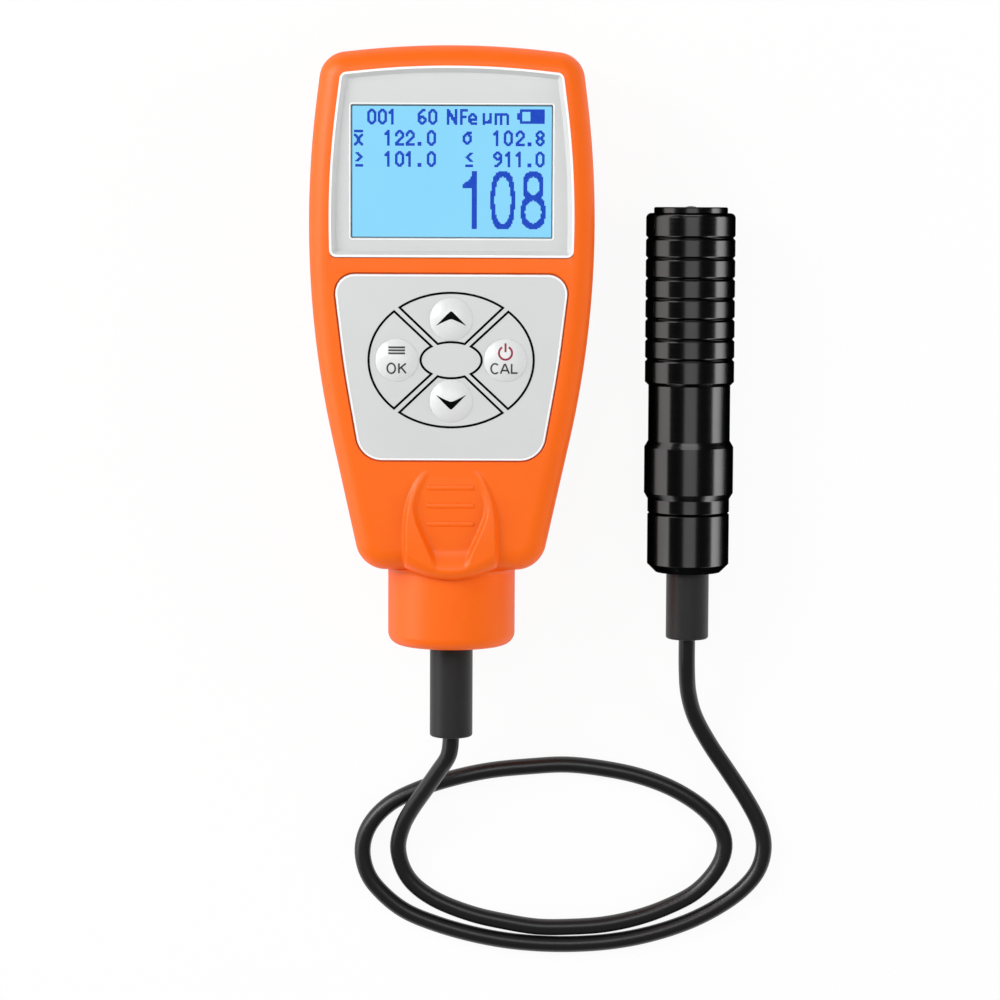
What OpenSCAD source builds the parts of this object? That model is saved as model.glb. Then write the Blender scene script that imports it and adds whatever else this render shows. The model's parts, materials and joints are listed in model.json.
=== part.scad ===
// Coating thickness gauge: a hand case with a display and four keys, and a grooved probe on a lead.
// The case lies on its back on z = 0, with its face to +Z and its display end to +Y.
// The origin is on the back, half way along the case. The probe lies beside it, tip to +Y.

/* [Case] */
// Length of the case from its top edge to the end of its collar
case_len = 113.4; // [110:0.2:122]
// Width of the case at its widest place
case_w = 53.8; // [53:0.2:60]
// Thickness of the case from back to face
case_t = 27; // [26.5:0.5:34]
// Wall of both covers
wall = 2; // [1.6:0.1:2.4]
// Lean of the sides below the widest place, in degrees
lower_lean = 12.5; // [9:0.5:13]
// Lean of the sides above the widest place, in degrees
upper_lean = 7.3; // [5:0.1:9]
// Drop from the top edge to where the two leans meet
shoulder_drop = 42; // [38:0.5:46]
// Radius of the bulge of the sides
side_r = 185; // [140:5:200]
// Radius of the crown of the top edge
crown_r = 160; // [120:5:240]
// Radius of the top corners
top_corner_r = 5.5; // [4.5:0.25:7]
// Radius of the corners beside the collar
foot_corner_r = 6; // [5:0.25:7]
// Rounding of the edge of the face
face_edge_r = 4; // [3:0.25:5]
// Rounding of the edge of the back
back_edge_r = 3; // [2:0.25:4]
// Chamfer of both covers at their joint
joint_chamfer = 0.25; // [0.1:0.05:0.5]
// Draft of the side walls, in degrees
draft = 1.5; // [0.5:0.25:2]

/* [Collar] */
// Diameter of the collar that holds the lead
collar_d = 24.2; // [22:0.2:24.4]
// Length of the collar
collar_len = 15.1; // [12:0.1:18]
// Wall of the collar
collar_wall = 2.2; // [1.8:0.1:3]
// Rounding of the collar's end
collar_edge_r = 2.4; // [1.5:0.1:3]
// Fillet between the case and the collar
collar_fillet = 1.2; // [0.5:0.1:1.2]

/* [Thumb grip] */
// Distance from the keypad to the grip
grip_gap = 1.5; // [1:0.1:3]
// Length of the grip
grip_len = 20.8; // [18:0.1:22]
// Half width of the grip at its upper end
grip_neck = 4.9; // [4:0.1:6]
// Half width of the grip at its lower end
grip_foot = 9.3; // [7.5:0.1:10]
// Rise of the grip's lower end from its middle to its sides
grip_arch = 1.8; // [0:0.1:2.5]
// Rounding of the grip's lower end at its middle
grip_roll = 1.2; // [0.6:0.1:1.4]
// Height of the grip's flanks over the face
grip_h = 1.3; // [0.8:0.1:1.8]
// Number of ribs in the grip's hollow
rib_count = 3; // [2:1:4]
// Pitch of the ribs
rib_pitch = 3.4; // [2.8:0.1:4]
// Length of each rib
rib_len = 8.4; // [6:0.2:9]
// Thickness of each rib
rib_w = 0.8; // [0.6:0.1:1.2]

/* [Display] */
// Margin from the case's outline to the bezel
bezel_inset = 4.1; // [4:0.05:5]
// Length of the bezel
bezel_len = 35.4; // [34:0.2:36]
// Radius of the bezel's lower corners
bezel_corner_r = 1.4; // [1:0.1:2]
// Width of the bezel's flat lip
bezel_lip = 0.45; // [0.2:0.05:0.6]
// Width of the bezel's sloped wall
bezel_slope = 0.8; // [0.6:0.1:1.4]
// Depth of the bezel's floor below the face
bezel_depth = 1; // [0.6:0.1:1.2]
// Width of the ledge that carries the bezel
ledge_w = 0.8; // [0.6:0.1:1]
// Thickness of that ledge
ledge_t = 1.2; // [0.8:0.1:1.6]
// Distance from the case's widest side to the visible display
view_side = 8.2; // [8:0.1:10]
// Height of the visible display
view_h = 24.6; // [22:0.2:25.4]
// Distance from the bezel's lower edge to the visible display
view_lift = 3.6; // [3:0.1:4.4]
// Overlap of the window under the bezel's floor
window_lap = 1; // [0.6:0.1:1.1]
// Thickness of the window
window_t = 1; // [0.8:0.1:1.5]
// Thickness of the LCD panel
lcd_t = 1.8; // [1.2:0.1:2.4]

/* [Keypad] */
// Gap between the bezel and the keypad panel
keypad_gap = 2.9; // [2.6:0.1:4]
// Length of the keypad panel
keypad_len = 35; // [33:0.5:36]
// Width of the keypad panel at its top edge
keypad_top_w = 44.4; // [40:0.2:44.6]
// Width of the keypad panel at its bottom edge
keypad_foot_w = 34; // [30:0.2:34.4]
// Radius of the keypad panel's upper corners
keypad_corner_r = 3.8; // [2.5:0.1:4.5]
// Radius of the keypad panel's lower corners
keypad_foot_r = 5; // [3:0.1:6]
// Thickness of the keypad panel
keypad_t = 0.8; // [0.6:0.1:1]
// Distance from the keypad's top edge to the middle of the keys
keys_drop = 16.1; // [15.5:0.1:17]
// Distance of the up and down keys from the middle
key_dy = 7.6; // [7:0.1:8.2]
// Distance of the side keys from the middle
key_dx = 10.1; // [9.5:0.1:10.8]
// Diameter of a key
key_d = 8; // [7:0.1:8.4]
// Height of a key's dome over the panel
key_h = 1.25; // [0.9:0.05:1.6]
// Travel of a key
key_travel = 0.5; // [0.3:0.05:0.6]
// Width of the flange under each key
key_flange = 0.8; // [0.6:0.1:1]
// Thickness of that flange
key_flange_t = 0.8; // [0.6:0.1:0.9]
// Diameter of a key's stem
key_stem_d = 3.6; // [3:0.1:4]

/* [Boards and battery] */
// Diameter of a cell
cell_d = 10.5; // [10:0.1:10.6]
// Length of a cell with its nub
cell_len = 44.5; // [43:0.1:45]
// Length of a battery spring in place
spring_len = 4.5; // [4:0.1:6]
// Thickness of the battery contacts
contact_t = 0.5; // [0.3:0.1:0.6]
// Wall of the battery box
box_wall = 2; // [1.8:0.1:2.4]
// Distance of the battery box's middle above the origin
box_y = 1; // [-1:0.5:3]
// Thickness of the battery cover
door_t = 1.6; // [1.4:0.1:1.8]
// Lap of the battery cover on the box's walls
door_lap = 1.2; // [1:0.1:1.4]
// Radius of the battery cover's lower corners
door_corner_r = 1.5; // [1:0.1:2]
// Length of the finger grooves in the battery cover
finger_groove_len = 12; // [8:0.5:16]
// Depth of the finger grooves
finger_groove_h = 0.4; // [0.2:0.05:0.6]
// Radius of the thumb notch below the battery cover
notch_r = 4.5; // [3:0.1:5]
// Depth of the thumb notch
notch_h = 1.1; // [0.6:0.1:1.3]
// Diameter of the battery cover's pivots
pivot_d = 1; // [0.8:0.1:1]
// Thickness of the main board
board_t = 1.6; // [1:0.1:2]
// Height of a tact switch over the board
switch_h = 5; // [4.3:0.1:5.5]
// Width of a tact switch
switch_w = 6; // [5:0.1:6.2]

/* [Case screws] */
// Diameter of the screws
screw_d = 2.4; // [2:0.1:2.6]
// Diameter of the screw heads
screw_head_d = 4.2; // [3.8:0.1:4.4]
// Depth of the screw heads below the back
screw_sink = 6; // [4:0.5:8]
// Length of the screws below their heads
screw_len = 9; // [7:0.5:10]

/* [Lead] */
// Diameter of the lead
lead_d = 3.2; // [2.4:0.1:3.2]
// Diameter of both reliefs
relief_d = 8.2; // [7:0.1:9]
// Length of the case's relief outside the collar
case_relief_len = 17.9; // [14:0.1:20]
// Length of the probe's relief outside the end cap
probe_relief_len = 13; // [10:0.1:15]
// Depth that the lead sinks into each relief
lead_sink = 3; // [2:0.5:5]

/* [Probe] */
// Distance of the probe's axis from the case's middle
probe_x = 45.4; // [44:0.2:60]
// Place of the probe's front face along the case
probe_y = 26.7; // [20:0.1:32]
// Wall of the sleeve round the sensor
sleeve_wall = 1.07; // [0.9:0.01:1.4]
// Length of the sleeve
sleeve_len = 32.9; // [31:0.1:36]
// Distance from the sleeve's front to its first groove
groove_start = 4.75; // [4.2:0.05:5]
// Pitch of the grooves
groove_pitch = 3.86; // [3.6:0.02:4]
// Number of grooves
groove_count = 7; // [5:1:7]
// Width of a groove
groove_w = 0.9; // [0.6:0.05:1.2]
// Depth of a groove
groove_h = 0.4; // [0.25:0.05:0.5]
// Rounding of the sleeve's front edge
sleeve_edge_r = 1; // [0.6:0.1:1.2]
// Step from the sleeve down to the barrel and the end cap
barrel_step = 0.7; // [0.5:0.05:0.9]
// Length of the barrel from the sleeve to the seam
barrel_len = 24.5; // [22:0.1:28]
// Distance from the sleeve to the ring
ring_start = 10.6; // [9:0.1:12]
// Length of the ring
ring_len = 11.2; // [8:0.1:12]
// Chamfer at both ends of the ring
ring_chamfer = 1.2; // [0.8:0.1:1.6]
// Length of the end cap
cap_len = 11.4; // [10:0.1:14]
// Chamfer of the end cap
cap_chamfer = 1.6; // [1:0.1:2]
// Diameter of the sensor's front face
tip_d = 14.1; // [13:0.1:14.2]
// Distance that the sensor stands out of the sleeve
tip_out = 1.1; // [1:0.05:1.5]
// Diameter of the pole tip
pole_d = 2.4; // [2:0.1:3]
// Height of the pole tip's dome
pole_h = 0.25; // [0.15:0.05:0.4]
// Wire of the sensor's spring
spring_wire = 0.8; // [0.6:0.05:1]

/* [Hidden] */
$fn = 64;

// Clearances: a loose gap, a close seat, a running fit and a flat stop
gap = 0.3;
seat = 0.1;
run = 0.08;
stop = 0.05;
// A cut runs past its faces by this much
past = 1;

orange = "#fa7a2e";
silver = "#d9dadb";
black = "#1c1c1e";
rubber_grey = "#454545";
steel = "#b9bcc0";
board_green = "#2f6b3f";

// Places along the case
top_y = case_len / 2;
end_y = -case_len / 2;
foot_y = end_y + collar_len;
split_z = case_t / 2;

// Corners of the case's outline, each as [x, y, radius], from the crown round the right side
half_turn = (lower_lean + upper_lean) / 2;
lean_skew = (lower_lean - upper_lean) / 2;
shoulder_x = case_w / 2 + side_r * (cos(lean_skew) / cos(half_turn) - 1);
shoulder_y = top_y - shoulder_drop;
crown_half = 17;
crown_lean = asin(crown_half / crown_r);
apex_y = top_y + crown_r * (1 / cos(crown_lean) - 1);
top_corner_y = (apex_y - tan(crown_lean) * (shoulder_x + tan(upper_lean) * shoulder_y))
    / (1 - tan(crown_lean) * tan(upper_lean));
top_corner_x = shoulder_x - tan(upper_lean) * (top_corner_y - shoulder_y);
foot_corner_x = shoulder_x - tan(lower_lean) * (shoulder_y - foot_y);
right_corners = [
    [top_corner_x, top_corner_y, top_corner_r],
    [shoulder_x, shoulder_y, side_r],
    [foot_corner_x, foot_y, foot_corner_r]
];
case_corners = concat([[0, apex_y, crown_r]], right_corners, mirrored(right_corners));

function mirrored(corners) = [for (i = [len(corners) - 1 : -1 : 0]) [-corners[i].x, corners[i].y, corners[i].z]];
function unit(v) = v / norm(v);
function flat(p) = [p.x, p.y];

// Moves every edge of a clockwise outline inwards by d and takes d off its radii
function inset(c, d) = [
    for (i = [0 : len(c) - 1])
        let (
            a = unit(flat(c[i]) - flat(c[(i + len(c) - 1) % len(c)])),
            b = unit(flat(c[(i + 1) % len(c)]) - flat(c[i])),
            na = [a.y, -a.x],
            nb = [b.y, -b.x],
            m = (na + nb) * d / (1 + na * nb)
        ) [c[i].x + m.x, c[i].y + m.y, max(0.05, c[i].z - d)]
];

// Points of an outline whose corners are rounded by their own radii, with steps segments to an arc
function rounded(c, steps = 6) = [
    for (i = [0 : len(c) - 1])
        let (
            p = flat(c[i]),
            a = unit(flat(c[(i + len(c) - 1) % len(c)]) - p),
            b = unit(flat(c[(i + 1) % len(c)]) - p),
            opening = acos(a * b) / 2,
            middle = p + unit(a + b) * c[i].z / sin(opening),
            from = p + a * c[i].z / tan(opening) - middle,
            turn = 180 - 2 * opening
        )
        for (k = [0 : steps])
            let (t = -turn * k / steps)
            middle + [from.x * cos(t) - from.y * sin(t), from.x * sin(t) + from.y * cos(t)]
];

function case_outline(d, steps = 6) = rounded(inset(case_corners, d), steps);

// A stack of outlines of the case: levels holds [z, inset] pairs
module case_loft(levels, steps = 6) {
    hull()
        for (l = levels)
            translate([0, 0, l[0]]) linear_extrude(0.01) polygon(case_outline(l[1], steps));
}

// Levels of a rounded edge from the wall at z0 to the plane z1, r wide, with the wall's draft
arc_steps = 5;
wall_lean = (split_z - face_edge_r) * tan(draft);
face_levels = concat(
    [[split_z, joint_chamfer], [split_z + joint_chamfer, 0]],
    [for (k = [0 : arc_steps]) let (t = 90 * k / arc_steps)
        [case_t - 0.01 - face_edge_r * (1 - sin(t)), wall_lean + face_edge_r * (1 - cos(t))]]
);
back_levels = concat(
    [for (k = [0 : arc_steps]) let (t = 90 * k / arc_steps)
        [back_edge_r * (1 - cos(t)), wall_lean + back_edge_r * (1 - sin(t))]],
    [[split_z - joint_chamfer, 0], [split_z - 0.01, joint_chamfer]]
);

// Half width of the case at a height y on its bulging side
bulge_y = shoulder_y + side_r * sin(lean_skew) / cos(half_turn);
function side_x(y) = case_w / 2 - side_r + sqrt(side_r * side_r - (y - bulge_y) * (y - bulge_y));

// Display: places along the case and heights below the face
bezel_foot_y = top_y - bezel_inset - bezel_len;
view_w = case_w - 2 * view_side;
view_y = bezel_foot_y + view_lift + view_h / 2;
bezel_floor_z = case_t - bezel_depth;
bezel_back_z = case_t - wall;
window_z = bezel_back_z - window_t;
lcd_z = window_z - lcd_t;
view_corner_r = 0.6;

// Keypad: corners of the panel's outline and places of the keys
keypad_top_y = bezel_foot_y - keypad_gap;
keypad_foot_y = keypad_top_y - keypad_len;
keypad_z = case_t - keypad_t;
keypad_bulge = 0.5;
keypad_right = [
    [keypad_top_w / 2, keypad_top_y, keypad_corner_r],
    [(keypad_top_w + keypad_foot_w) / 4 + keypad_bulge, (keypad_top_y + keypad_foot_y) / 2, side_r],
    [keypad_foot_w / 2, keypad_foot_y, keypad_foot_r]
];
keypad_corners = concat(keypad_right, mirrored(keypad_right));
keys_y = keypad_top_y - keys_drop;
key_up_at = [0, keys_y + key_dy];
key_down_at = [0, keys_y - key_dy];
key_menu_at = [-key_dx, keys_y];
key_power_at = [key_dx, keys_y];
key_places = [key_up_at, key_down_at, key_menu_at, key_power_at];
key_well_d = key_d + 2 * key_flange + 2 * gap;

// Battery box: its inside, its cover and the cells
door_z = 0.15;
door_seat_z = door_z + door_t + 0.15;
box_in_w = 2 * cell_d + 3 * gap;
box_in_len = cell_len + spring_len + 2 * contact_t;
box_top_in = box_y + box_in_len / 2;
box_foot_in = box_y - box_in_len / 2;
cell_x = (cell_d + gap) / 2;
cell_z = door_seat_z + gap + cell_d / 2;
box_roof_in = cell_z + cell_d / 2 + gap;
box_roof_t = 1.4;
door_w = box_in_w + 2 * door_lap;
door_len = box_in_len + 2 * door_lap;
door_gap = 0.25;
door_top_y = box_y + door_len / 2;
door_foot_y = box_y - door_len / 2;
pivot_y = door_top_y - door_t / 2;
pivot_z = door_z + door_t / 2;
pivot_out = 1;
notch_ball_r = (notch_r * notch_r + notch_h * notch_h) / (2 * notch_h);

// Screw posts
post_d = screw_d + 3.2;
screw_web = 2;
top_post_y = top_y - bezel_inset - post_d / 2;
top_post_x = side_x(top_post_y) - wall - wall_lean - post_d / 2 - gap;
low_post_y = foot_y + 9.3;
low_post_x = side_x(low_post_y) - wall - wall_lean - post_d / 2 - gap;
top_posts = [[top_post_x, top_post_y], [-top_post_x, top_post_y]];
low_posts = [[low_post_x, low_post_y], [-low_post_x, low_post_y]];
screw_head_h = 1.6;
ledge_z = bezel_back_z - ledge_t;

// Main board and what stands on it
board_z = box_roof_in + box_roof_t;
board_top = board_z + board_t;
board_margin = 1;
board_top_y = top_post_y - post_d / 2 - gap;
board_foot_y = keypad_foot_y - 8.4;
switch_top = board_top + switch_h;

// Reliefs
neck_d = relief_d - 2;
relief_flange_d = relief_d + 1;
relief_flange_t = 1.5;
relief_tip_y = end_y - case_relief_len;

// Thumb grip
grip_top_y = keypad_foot_y - grip_gap;
grip_root_z = case_t - face_edge_r - gap;
grip_skirt = 0.35;
flank_start = 0.25;
flank_growth = 3.2;
hollow_blend = 1.2;
hollow_foot = 3.4;
hollow_floor = 0.1;
hollow_turn = 0.36;

// Probe: stations along its axis from the sensor's front face
sleeve_start = tip_out;
sleeve_end = sleeve_start + sleeve_len;
barrel_end = sleeve_end + barrel_len;
cap_end = barrel_end + cap_len;
carrier_step = 0.35;
bore_r = tip_d / 2 + carrier_step + run;
sleeve_d = 2 * (bore_r + sleeve_wall);
barrel_d = sleeve_d - 2 * barrel_step;
probe_z = sleeve_d / 2;
sleeve_lip = 4;
carrier_guide = 5;
carrier_back = sleeve_start + sleeve_lip + stop + carrier_guide;
spigot_len = 12;
spigot_start = sleeve_end - spigot_len;
barrel_bore_r = 5;
cap_spigot_len = 5;
seam_chamfer = 0.3;
cup_wall = 1.6;
cup_skirt = 1.5;
cup_r = tip_d / 2 - cup_skirt;
coil_len = 6;

// Route of the lead over the surface it lies on, from the case to the probe
lay_z = lead_d / 2;
lead_route = concat(
    [[0, relief_tip_y + lead_sink, split_z], [0, relief_tip_y, split_z]],
    [
        [-0.5, -78.5, 13], [-2.5, -82, 11], [-5, -86, 8.5], [-7.5, -90, 6], [-9.5, -94, 3.8],
        [-10.5, -98.5, 2.3], [-9.5, -103, 1.7], [-7, -106.5, lay_z], [-2.5, -109.5, lay_z], [4, -112, lay_z],
        [10.5, -113.5, lay_z], [17, -114.5, lay_z], [23.5, -114.5, lay_z], [30, -114, lay_z], [36.5, -112.6, lay_z],
        [42.5, -110.4, lay_z], [48, -107.4, lay_z], [52, -103, lay_z], [53.6, -98.5, lay_z], [52.5, -94.4, lay_z],
        [49, -90.5, lay_z], [43.5, -87, lay_z], [37, -84.5, lay_z], [30, -83, lay_z], [22.5, -82.2, lay_z],
        [15, -82.6, lay_z], [7.5, -83.4, lay_z], [0.5, -84.9, lay_z], [-6, -87, lay_z], [-12, -90, lay_z],
        [-16, -94.2, lay_z], [-17.5, -99, lay_z], [-16.5, -104, lay_z], [-13.5, -108, lay_z], [-9, -111.5, lay_z],
        [-3, -114, lay_z], [4, -116, lay_z], [11, -117.3, lay_z], [18, -117.9, lay_z], [25, -117.9, lay_z],
        [32, -117.3, lay_z], [39, -115.9, lay_z], [46, -113.6, lay_z], [52, -110.6, lay_z], [57, -107, lay_z],
        [60.2, -103, lay_z], [61.3, -98.5, lay_z], [60.4, -94, lay_z], [57.8, -89, lay_z], [54.2, -83.5, 1.7],
        [50.5, -78, 2.3], [47.5, -72.5, 3.6], [46, -67.5, 5.6], [45.5, -62.5, 7.6]
    ],
    [[probe_x, probe_y - cap_end - probe_relief_len, probe_z],
     [probe_x, probe_y - cap_end - probe_relief_len + lead_sink, probe_z]]
);

// Direction of a path at its point i
function heading(path, i) = unit(path[min(i + 1, len(path) - 1)] - path[max(i - 1, 0)]);
// Sideways direction at point i of a path that never stands upright
function level_side(path, i) = unit(cross(heading(path, i), [0, 0, 1]));

// A tube along a path: sideways holds one direction per point, across the path
module tube(path, sideways, d, sides) {
    rings = [
        for (i = [0 : len(path) - 1])
            let (a = sideways[i], b = unit(cross(a, heading(path, i))))
            for (k = [0 : sides - 1])
                path[i] + (a * cos(360 * k / sides) + b * sin(360 * k / sides)) * d / 2
    ];
    last = (len(path) - 1) * sides;
    skin = [
        for (i = [0 : len(path) - 2])
            for (k = [0 : sides - 1])
                let (n = (k + 1) % sides, p = i * sides, q = p + sides)
                each [[p + k, q + k, q + n], [p + k, q + n, p + n]]
    ];
    caps = [[for (k = [0 : sides - 1]) k], [for (k = [sides - 1 : -1 : 0]) last + k]];
    polyhedron(points = rings, faces = concat(skin, caps), convexity = 8);
}

module lead_tube(path, d, sides = 8)
    tube(path, [for (i = [0 : len(path) - 1]) level_side(path, i)], d, sides);

// A helical spring along z from 0 to length, with mean radius r
module coil_spring(length, r, wire, turns, per_turn = 12, sides = 6) {
    count = turns * per_turn;
    rise = length - wire;
    path = [for (i = [0 : count]) let (a = 360 * i / per_turn)
        [r * cos(a), r * sin(a), wire / 2 + rise * i / count]];
    tube(path, [for (i = [0 : count]) let (a = 360 * i / per_turn) [cos(a), sin(a), 0]], wire, sides);
}

// A plate with round corners standing on z = 0, centred on the origin
module round_plate(size, r, h) {
    for (m = [[size.x - 2 * r, size.y], [size.x, size.y - 2 * r]])
        translate([-m.x / 2, -m.y / 2, 0]) cube([m.x, m.y, h]);
    for (x = [-1, 1], y = [-1, 1])
        translate([x * (size.x / 2 - r), y * (size.y / 2 - r), 0]) cylinder(r = r, h = h);
}

// Something modelled along z, laid along -Y from a point on the case's or the probe's axis
module along_case(y) translate([0, y, split_z]) rotate([90, 0, 0]) children();
module along_probe(s = 0) translate([probe_x, probe_y - s, probe_z]) rotate([90, 0, 0]) children();

// The half space above the joint line of the covers
module upper_half() translate([-case_w, -case_len, split_z]) cube([2 * case_w, 2 * case_len, case_t]);
module lower_half() translate([-case_w, -case_len, split_z - case_t]) cube([2 * case_w, 2 * case_len, case_t]);

// The collar with its fillet and rounded end, from inside the case's lower wall
module collar() {
    r = collar_d / 2;
    reach = wall + collar_len;
    arc = [0 : 15 : 90];
    along_case(foot_y + wall) rotate_extrude() polygon(concat(
        [[0, 0], [r, 0]],
        [for (t = arc) [r + collar_fillet * (1 - sin(t)), wall + collar_fillet * (1 - cos(t))]],
        [for (t = arc) [r - collar_edge_r * (1 - cos(t)), reach - collar_edge_r * (1 - sin(t))]],
        [[0, reach]]
    ));
}

// The collar's hollow, and the hole in its end for the neck of the relief
module collar_hollow() {
    along_case(foot_y + wall + past) cylinder(d = collar_d - 2 * collar_wall, h = past + wall + collar_len - collar_wall);
    along_case(end_y + collar_wall + past) cylinder(d = neck_d + 2 * seat, h = collar_wall + 2 * past);
}

// Outline of the bezel, d inside its edge
module bezel_shape(d = 0) {
    offset(r = bezel_corner_r) offset(delta = -bezel_corner_r - d) intersection() {
        polygon(case_outline(bezel_inset, 10));
        translate([-case_w, bezel_foot_y]) square([2 * case_w, case_len]);
    }
}

// Outline of the keypad panel, d inside its edge
module keypad_shape(d = 0) polygon(rounded(inset(keypad_corners, d), 8));

function smooth(v) = let (c = max(0, min(1, v))) c * c * (3 - 2 * c);
function mix(a, b, w) = a + (b - a) * w;

// Half width of the grip, and of the hollow between its flanks, at the share t of its length
function grip_edge(t) = grip_neck + (grip_foot - grip_neck) * (1 - pow(1 - min(1, t / 0.75), 3));
function upper_hollow(t) = grip_edge(t) - flank_start - flank_growth * t;
function hollow_edge(t) = t < hollow_turn
    ? upper_hollow(t)
    : mix(upper_hollow(hollow_turn), hollow_foot, smooth((t - hollow_turn) / (0.95 - hollow_turn)));

// Height of the grip over the face at x and t: two flanks that rise to the lower end, and a hollow between
function flank_h(x, t) = grip_h * sin(90 * min(1, t / 0.75)) * (1 + 0.2 * (1 - pow(x / grip_edge(t), 2)));
// Drop of the rounded lower end, which rolls over more at its sides than at its middle
function lip_drop(x, t) =
    let (roll = grip_roll * (1 + 2 * pow(x / grip_edge(t), 2)), left = (1 - t) * grip_len)
    roll * (1 - sqrt(1 - pow(max(0, 1 - left / roll), 2)));
function grip_height(x, t) =
    let (
        flank = flank_h(x, t),
        bed = mix(hollow_floor, flank, smooth((t - 0.72) / 0.22)),
        across = smooth((abs(x) - hollow_edge(t) + hollow_blend) / hollow_blend)
    ) mix(bed, flank, across) - lip_drop(x, t);

// Stations across the right half of the grip, from its outer foot to its middle
function grip_stations(t) = let (e = grip_edge(t), h = hollow_edge(t)) [
    e + grip_skirt, e, (e + h) / 2, h, h - hollow_blend / 4, h - hollow_blend / 2, h - hollow_blend * 0.75,
    h - hollow_blend, (h - hollow_blend) / 2
];

// The grip as a solid patch with its root in the cover's wall
module thumb_grip() {
    rows = 16;
    half = len(grip_stations(0));
    cols = 2 * half + 1;
    top = [
        for (i = [0 : rows])
            let (t = i / rows, s = grip_stations(t))
            for (j = [0 : cols - 1])
                let (
                    x = j < half ? -s[j] : j == half ? 0 : s[2 * half - j],
                    y = grip_top_y - t * (grip_len - grip_arch * pow(x / grip_edge(t), 2)),
                    outer = j == 0 || j == cols - 1
                ) [x, y, case_t + (outer ? -stop - lip_drop(x, t) : grip_height(x, t))]
    ];
    n = len(top);
    root = [for (p = top) [p.x, p.y, grip_root_z]];
    quads = [for (i = [0 : rows - 1], j = [0 : cols - 2]) let (a = i * cols + j) [a, a + 1, a + cols + 1, a + cols]];
    up = [for (q = quads) each [[q[0], q[1], q[2]], [q[0], q[2], q[3]]]];
    down = [for (f = up) [n + f[2], n + f[1], n + f[0]]];
    rim = concat(
        [for (j = [0 : cols - 1]) j],
        [for (i = [1 : rows]) i * cols + cols - 1],
        [for (j = [cols - 2 : -1 : 0]) rows * cols + j],
        [for (i = [rows - 1 : -1 : 1]) i * cols]
    );
    sides = [for (k = [0 : len(rim) - 1]) let (a = rim[k], b = rim[(k + 1) % len(rim)])
        each [[b, a, n + a], [b, n + a, n + b]]];
    polyhedron(points = concat(top, root), faces = concat(up, down, sides), convexity = 6);
}

// One raised rib in the grip's hollow
module grip_rib(i) {
    y = grip_top_y - rib_pitch * (i + 1);
    hull()
        for (x = [-1, 1])
            translate([x * (rib_len - rib_w) / 2, y, case_t + hollow_floor]) sphere(d = rib_w, $fn = 12);
}

module front_cover() {
    color(orange) difference() {
        union() {
            difference() {
                union() {
                    case_loft(face_levels);
                    intersection() {
                        collar();
                        upper_half();
                    }
                    thumb_grip();
                }
                case_loft([
                    [split_z - stop, wall],
                    [case_t - wall - face_edge_r / 2, wall + wall_lean],
                    [case_t - wall, wall + wall_lean + face_edge_r / 2]
                ]);
                collar_hollow();
            }
            for (i = [0 : rib_count - 1]) grip_rib(i);
            translate([0, 0, ledge_z]) linear_extrude(ledge_t + stop) bezel_shape(-wall);
            for (p = top_posts) translate([p.x, p.y, screw_sink + screw_web]) cylinder(d = post_d, h = ledge_z - screw_sink - screw_web + stop);
            for (p = low_posts) translate([p.x, p.y, screw_sink + screw_web]) cylinder(d = post_d, h = case_t - wall / 2 - screw_sink - screw_web);
        }
        translate([0, 0, bezel_back_z]) linear_extrude(wall + past) bezel_shape(-seat);
        translate([0, 0, ledge_z - past]) linear_extrude(ledge_t + wall + 2 * past) bezel_shape(ledge_w);
        translate([0, 0, keypad_z]) linear_extrude(keypad_t + past) keypad_shape(-seat);
        for (p = key_places) translate([p.x, p.y, ledge_z - past]) cylinder(d = key_well_d, h = wall + ledge_t + 2 * past);
        for (p = concat(top_posts, low_posts))
            translate([p.x, p.y, screw_sink + screw_web - past]) cylinder(d = screw_d + 2 * seat, h = screw_len + past);
    }
}

module rear_cover() {
    boss_d = screw_head_d + 2 * gap + 2.4;
    color(orange) difference() {
        union() {
            difference() {
                union() {
                    case_loft(back_levels);
                    intersection() {
                        collar();
                        lower_half();
                    }
                }
                case_loft([
                    [wall, wall + wall_lean + back_edge_r / 2],
                    [wall + back_edge_r / 2, wall + wall_lean],
                    [split_z + stop, wall]
                ]);
                collar_hollow();
            }
            translate([-box_in_w / 2 - box_wall, box_foot_in - box_wall, door_seat_z])
                cube([box_in_w + 2 * box_wall, box_in_len + 2 * box_wall, board_z - door_seat_z]);
            for (p = concat(top_posts, low_posts))
                translate([p.x, p.y, wall / 2]) cylinder(d = boss_d, h = screw_sink + screw_web - wall / 2);
        }
        translate([-box_in_w / 2, box_foot_in, -past]) cube([box_in_w, box_in_len, box_roof_in + past]);
        translate([0, 0, -past]) door_plate(door_gap, door_seat_z + past);
        translate([0, door_foot_y - door_gap, notch_h - notch_ball_r]) sphere(r = notch_ball_r);
        translate([-door_w / 2 - pivot_out - gap, pivot_y, pivot_z]) rotate([0, 90, 0])
            cylinder(d = pivot_d + 2 * run, h = door_w + 2 * pivot_out + 2 * gap);
        for (p = concat(top_posts, low_posts)) translate([p.x, p.y, -past]) {
            cylinder(d = screw_head_d + 2 * gap, h = screw_sink + past);
            cylinder(d = screw_d + 2 * gap, h = screw_sink + screw_web + 2 * past);
        }
    }
}

module display_bezel() {
    color(silver) difference() {
        translate([0, 0, bezel_back_z]) linear_extrude(wall) bezel_shape();
        hull() {
            translate([0, 0, case_t]) linear_extrude(past) bezel_shape(bezel_lip);
            translate([0, 0, bezel_floor_z]) linear_extrude(stop) bezel_shape(bezel_lip + bezel_slope);
        }
        translate([0, view_y, bezel_back_z - past]) round_plate([view_w, view_h], view_corner_r, wall + 2 * past);
    }
}

module display_window() {
    color("#dfeaf2") translate([0, view_y, window_z])
        round_plate([view_w + 2 * window_lap, view_h + 2 * window_lap], view_corner_r, window_t);
}

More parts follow.
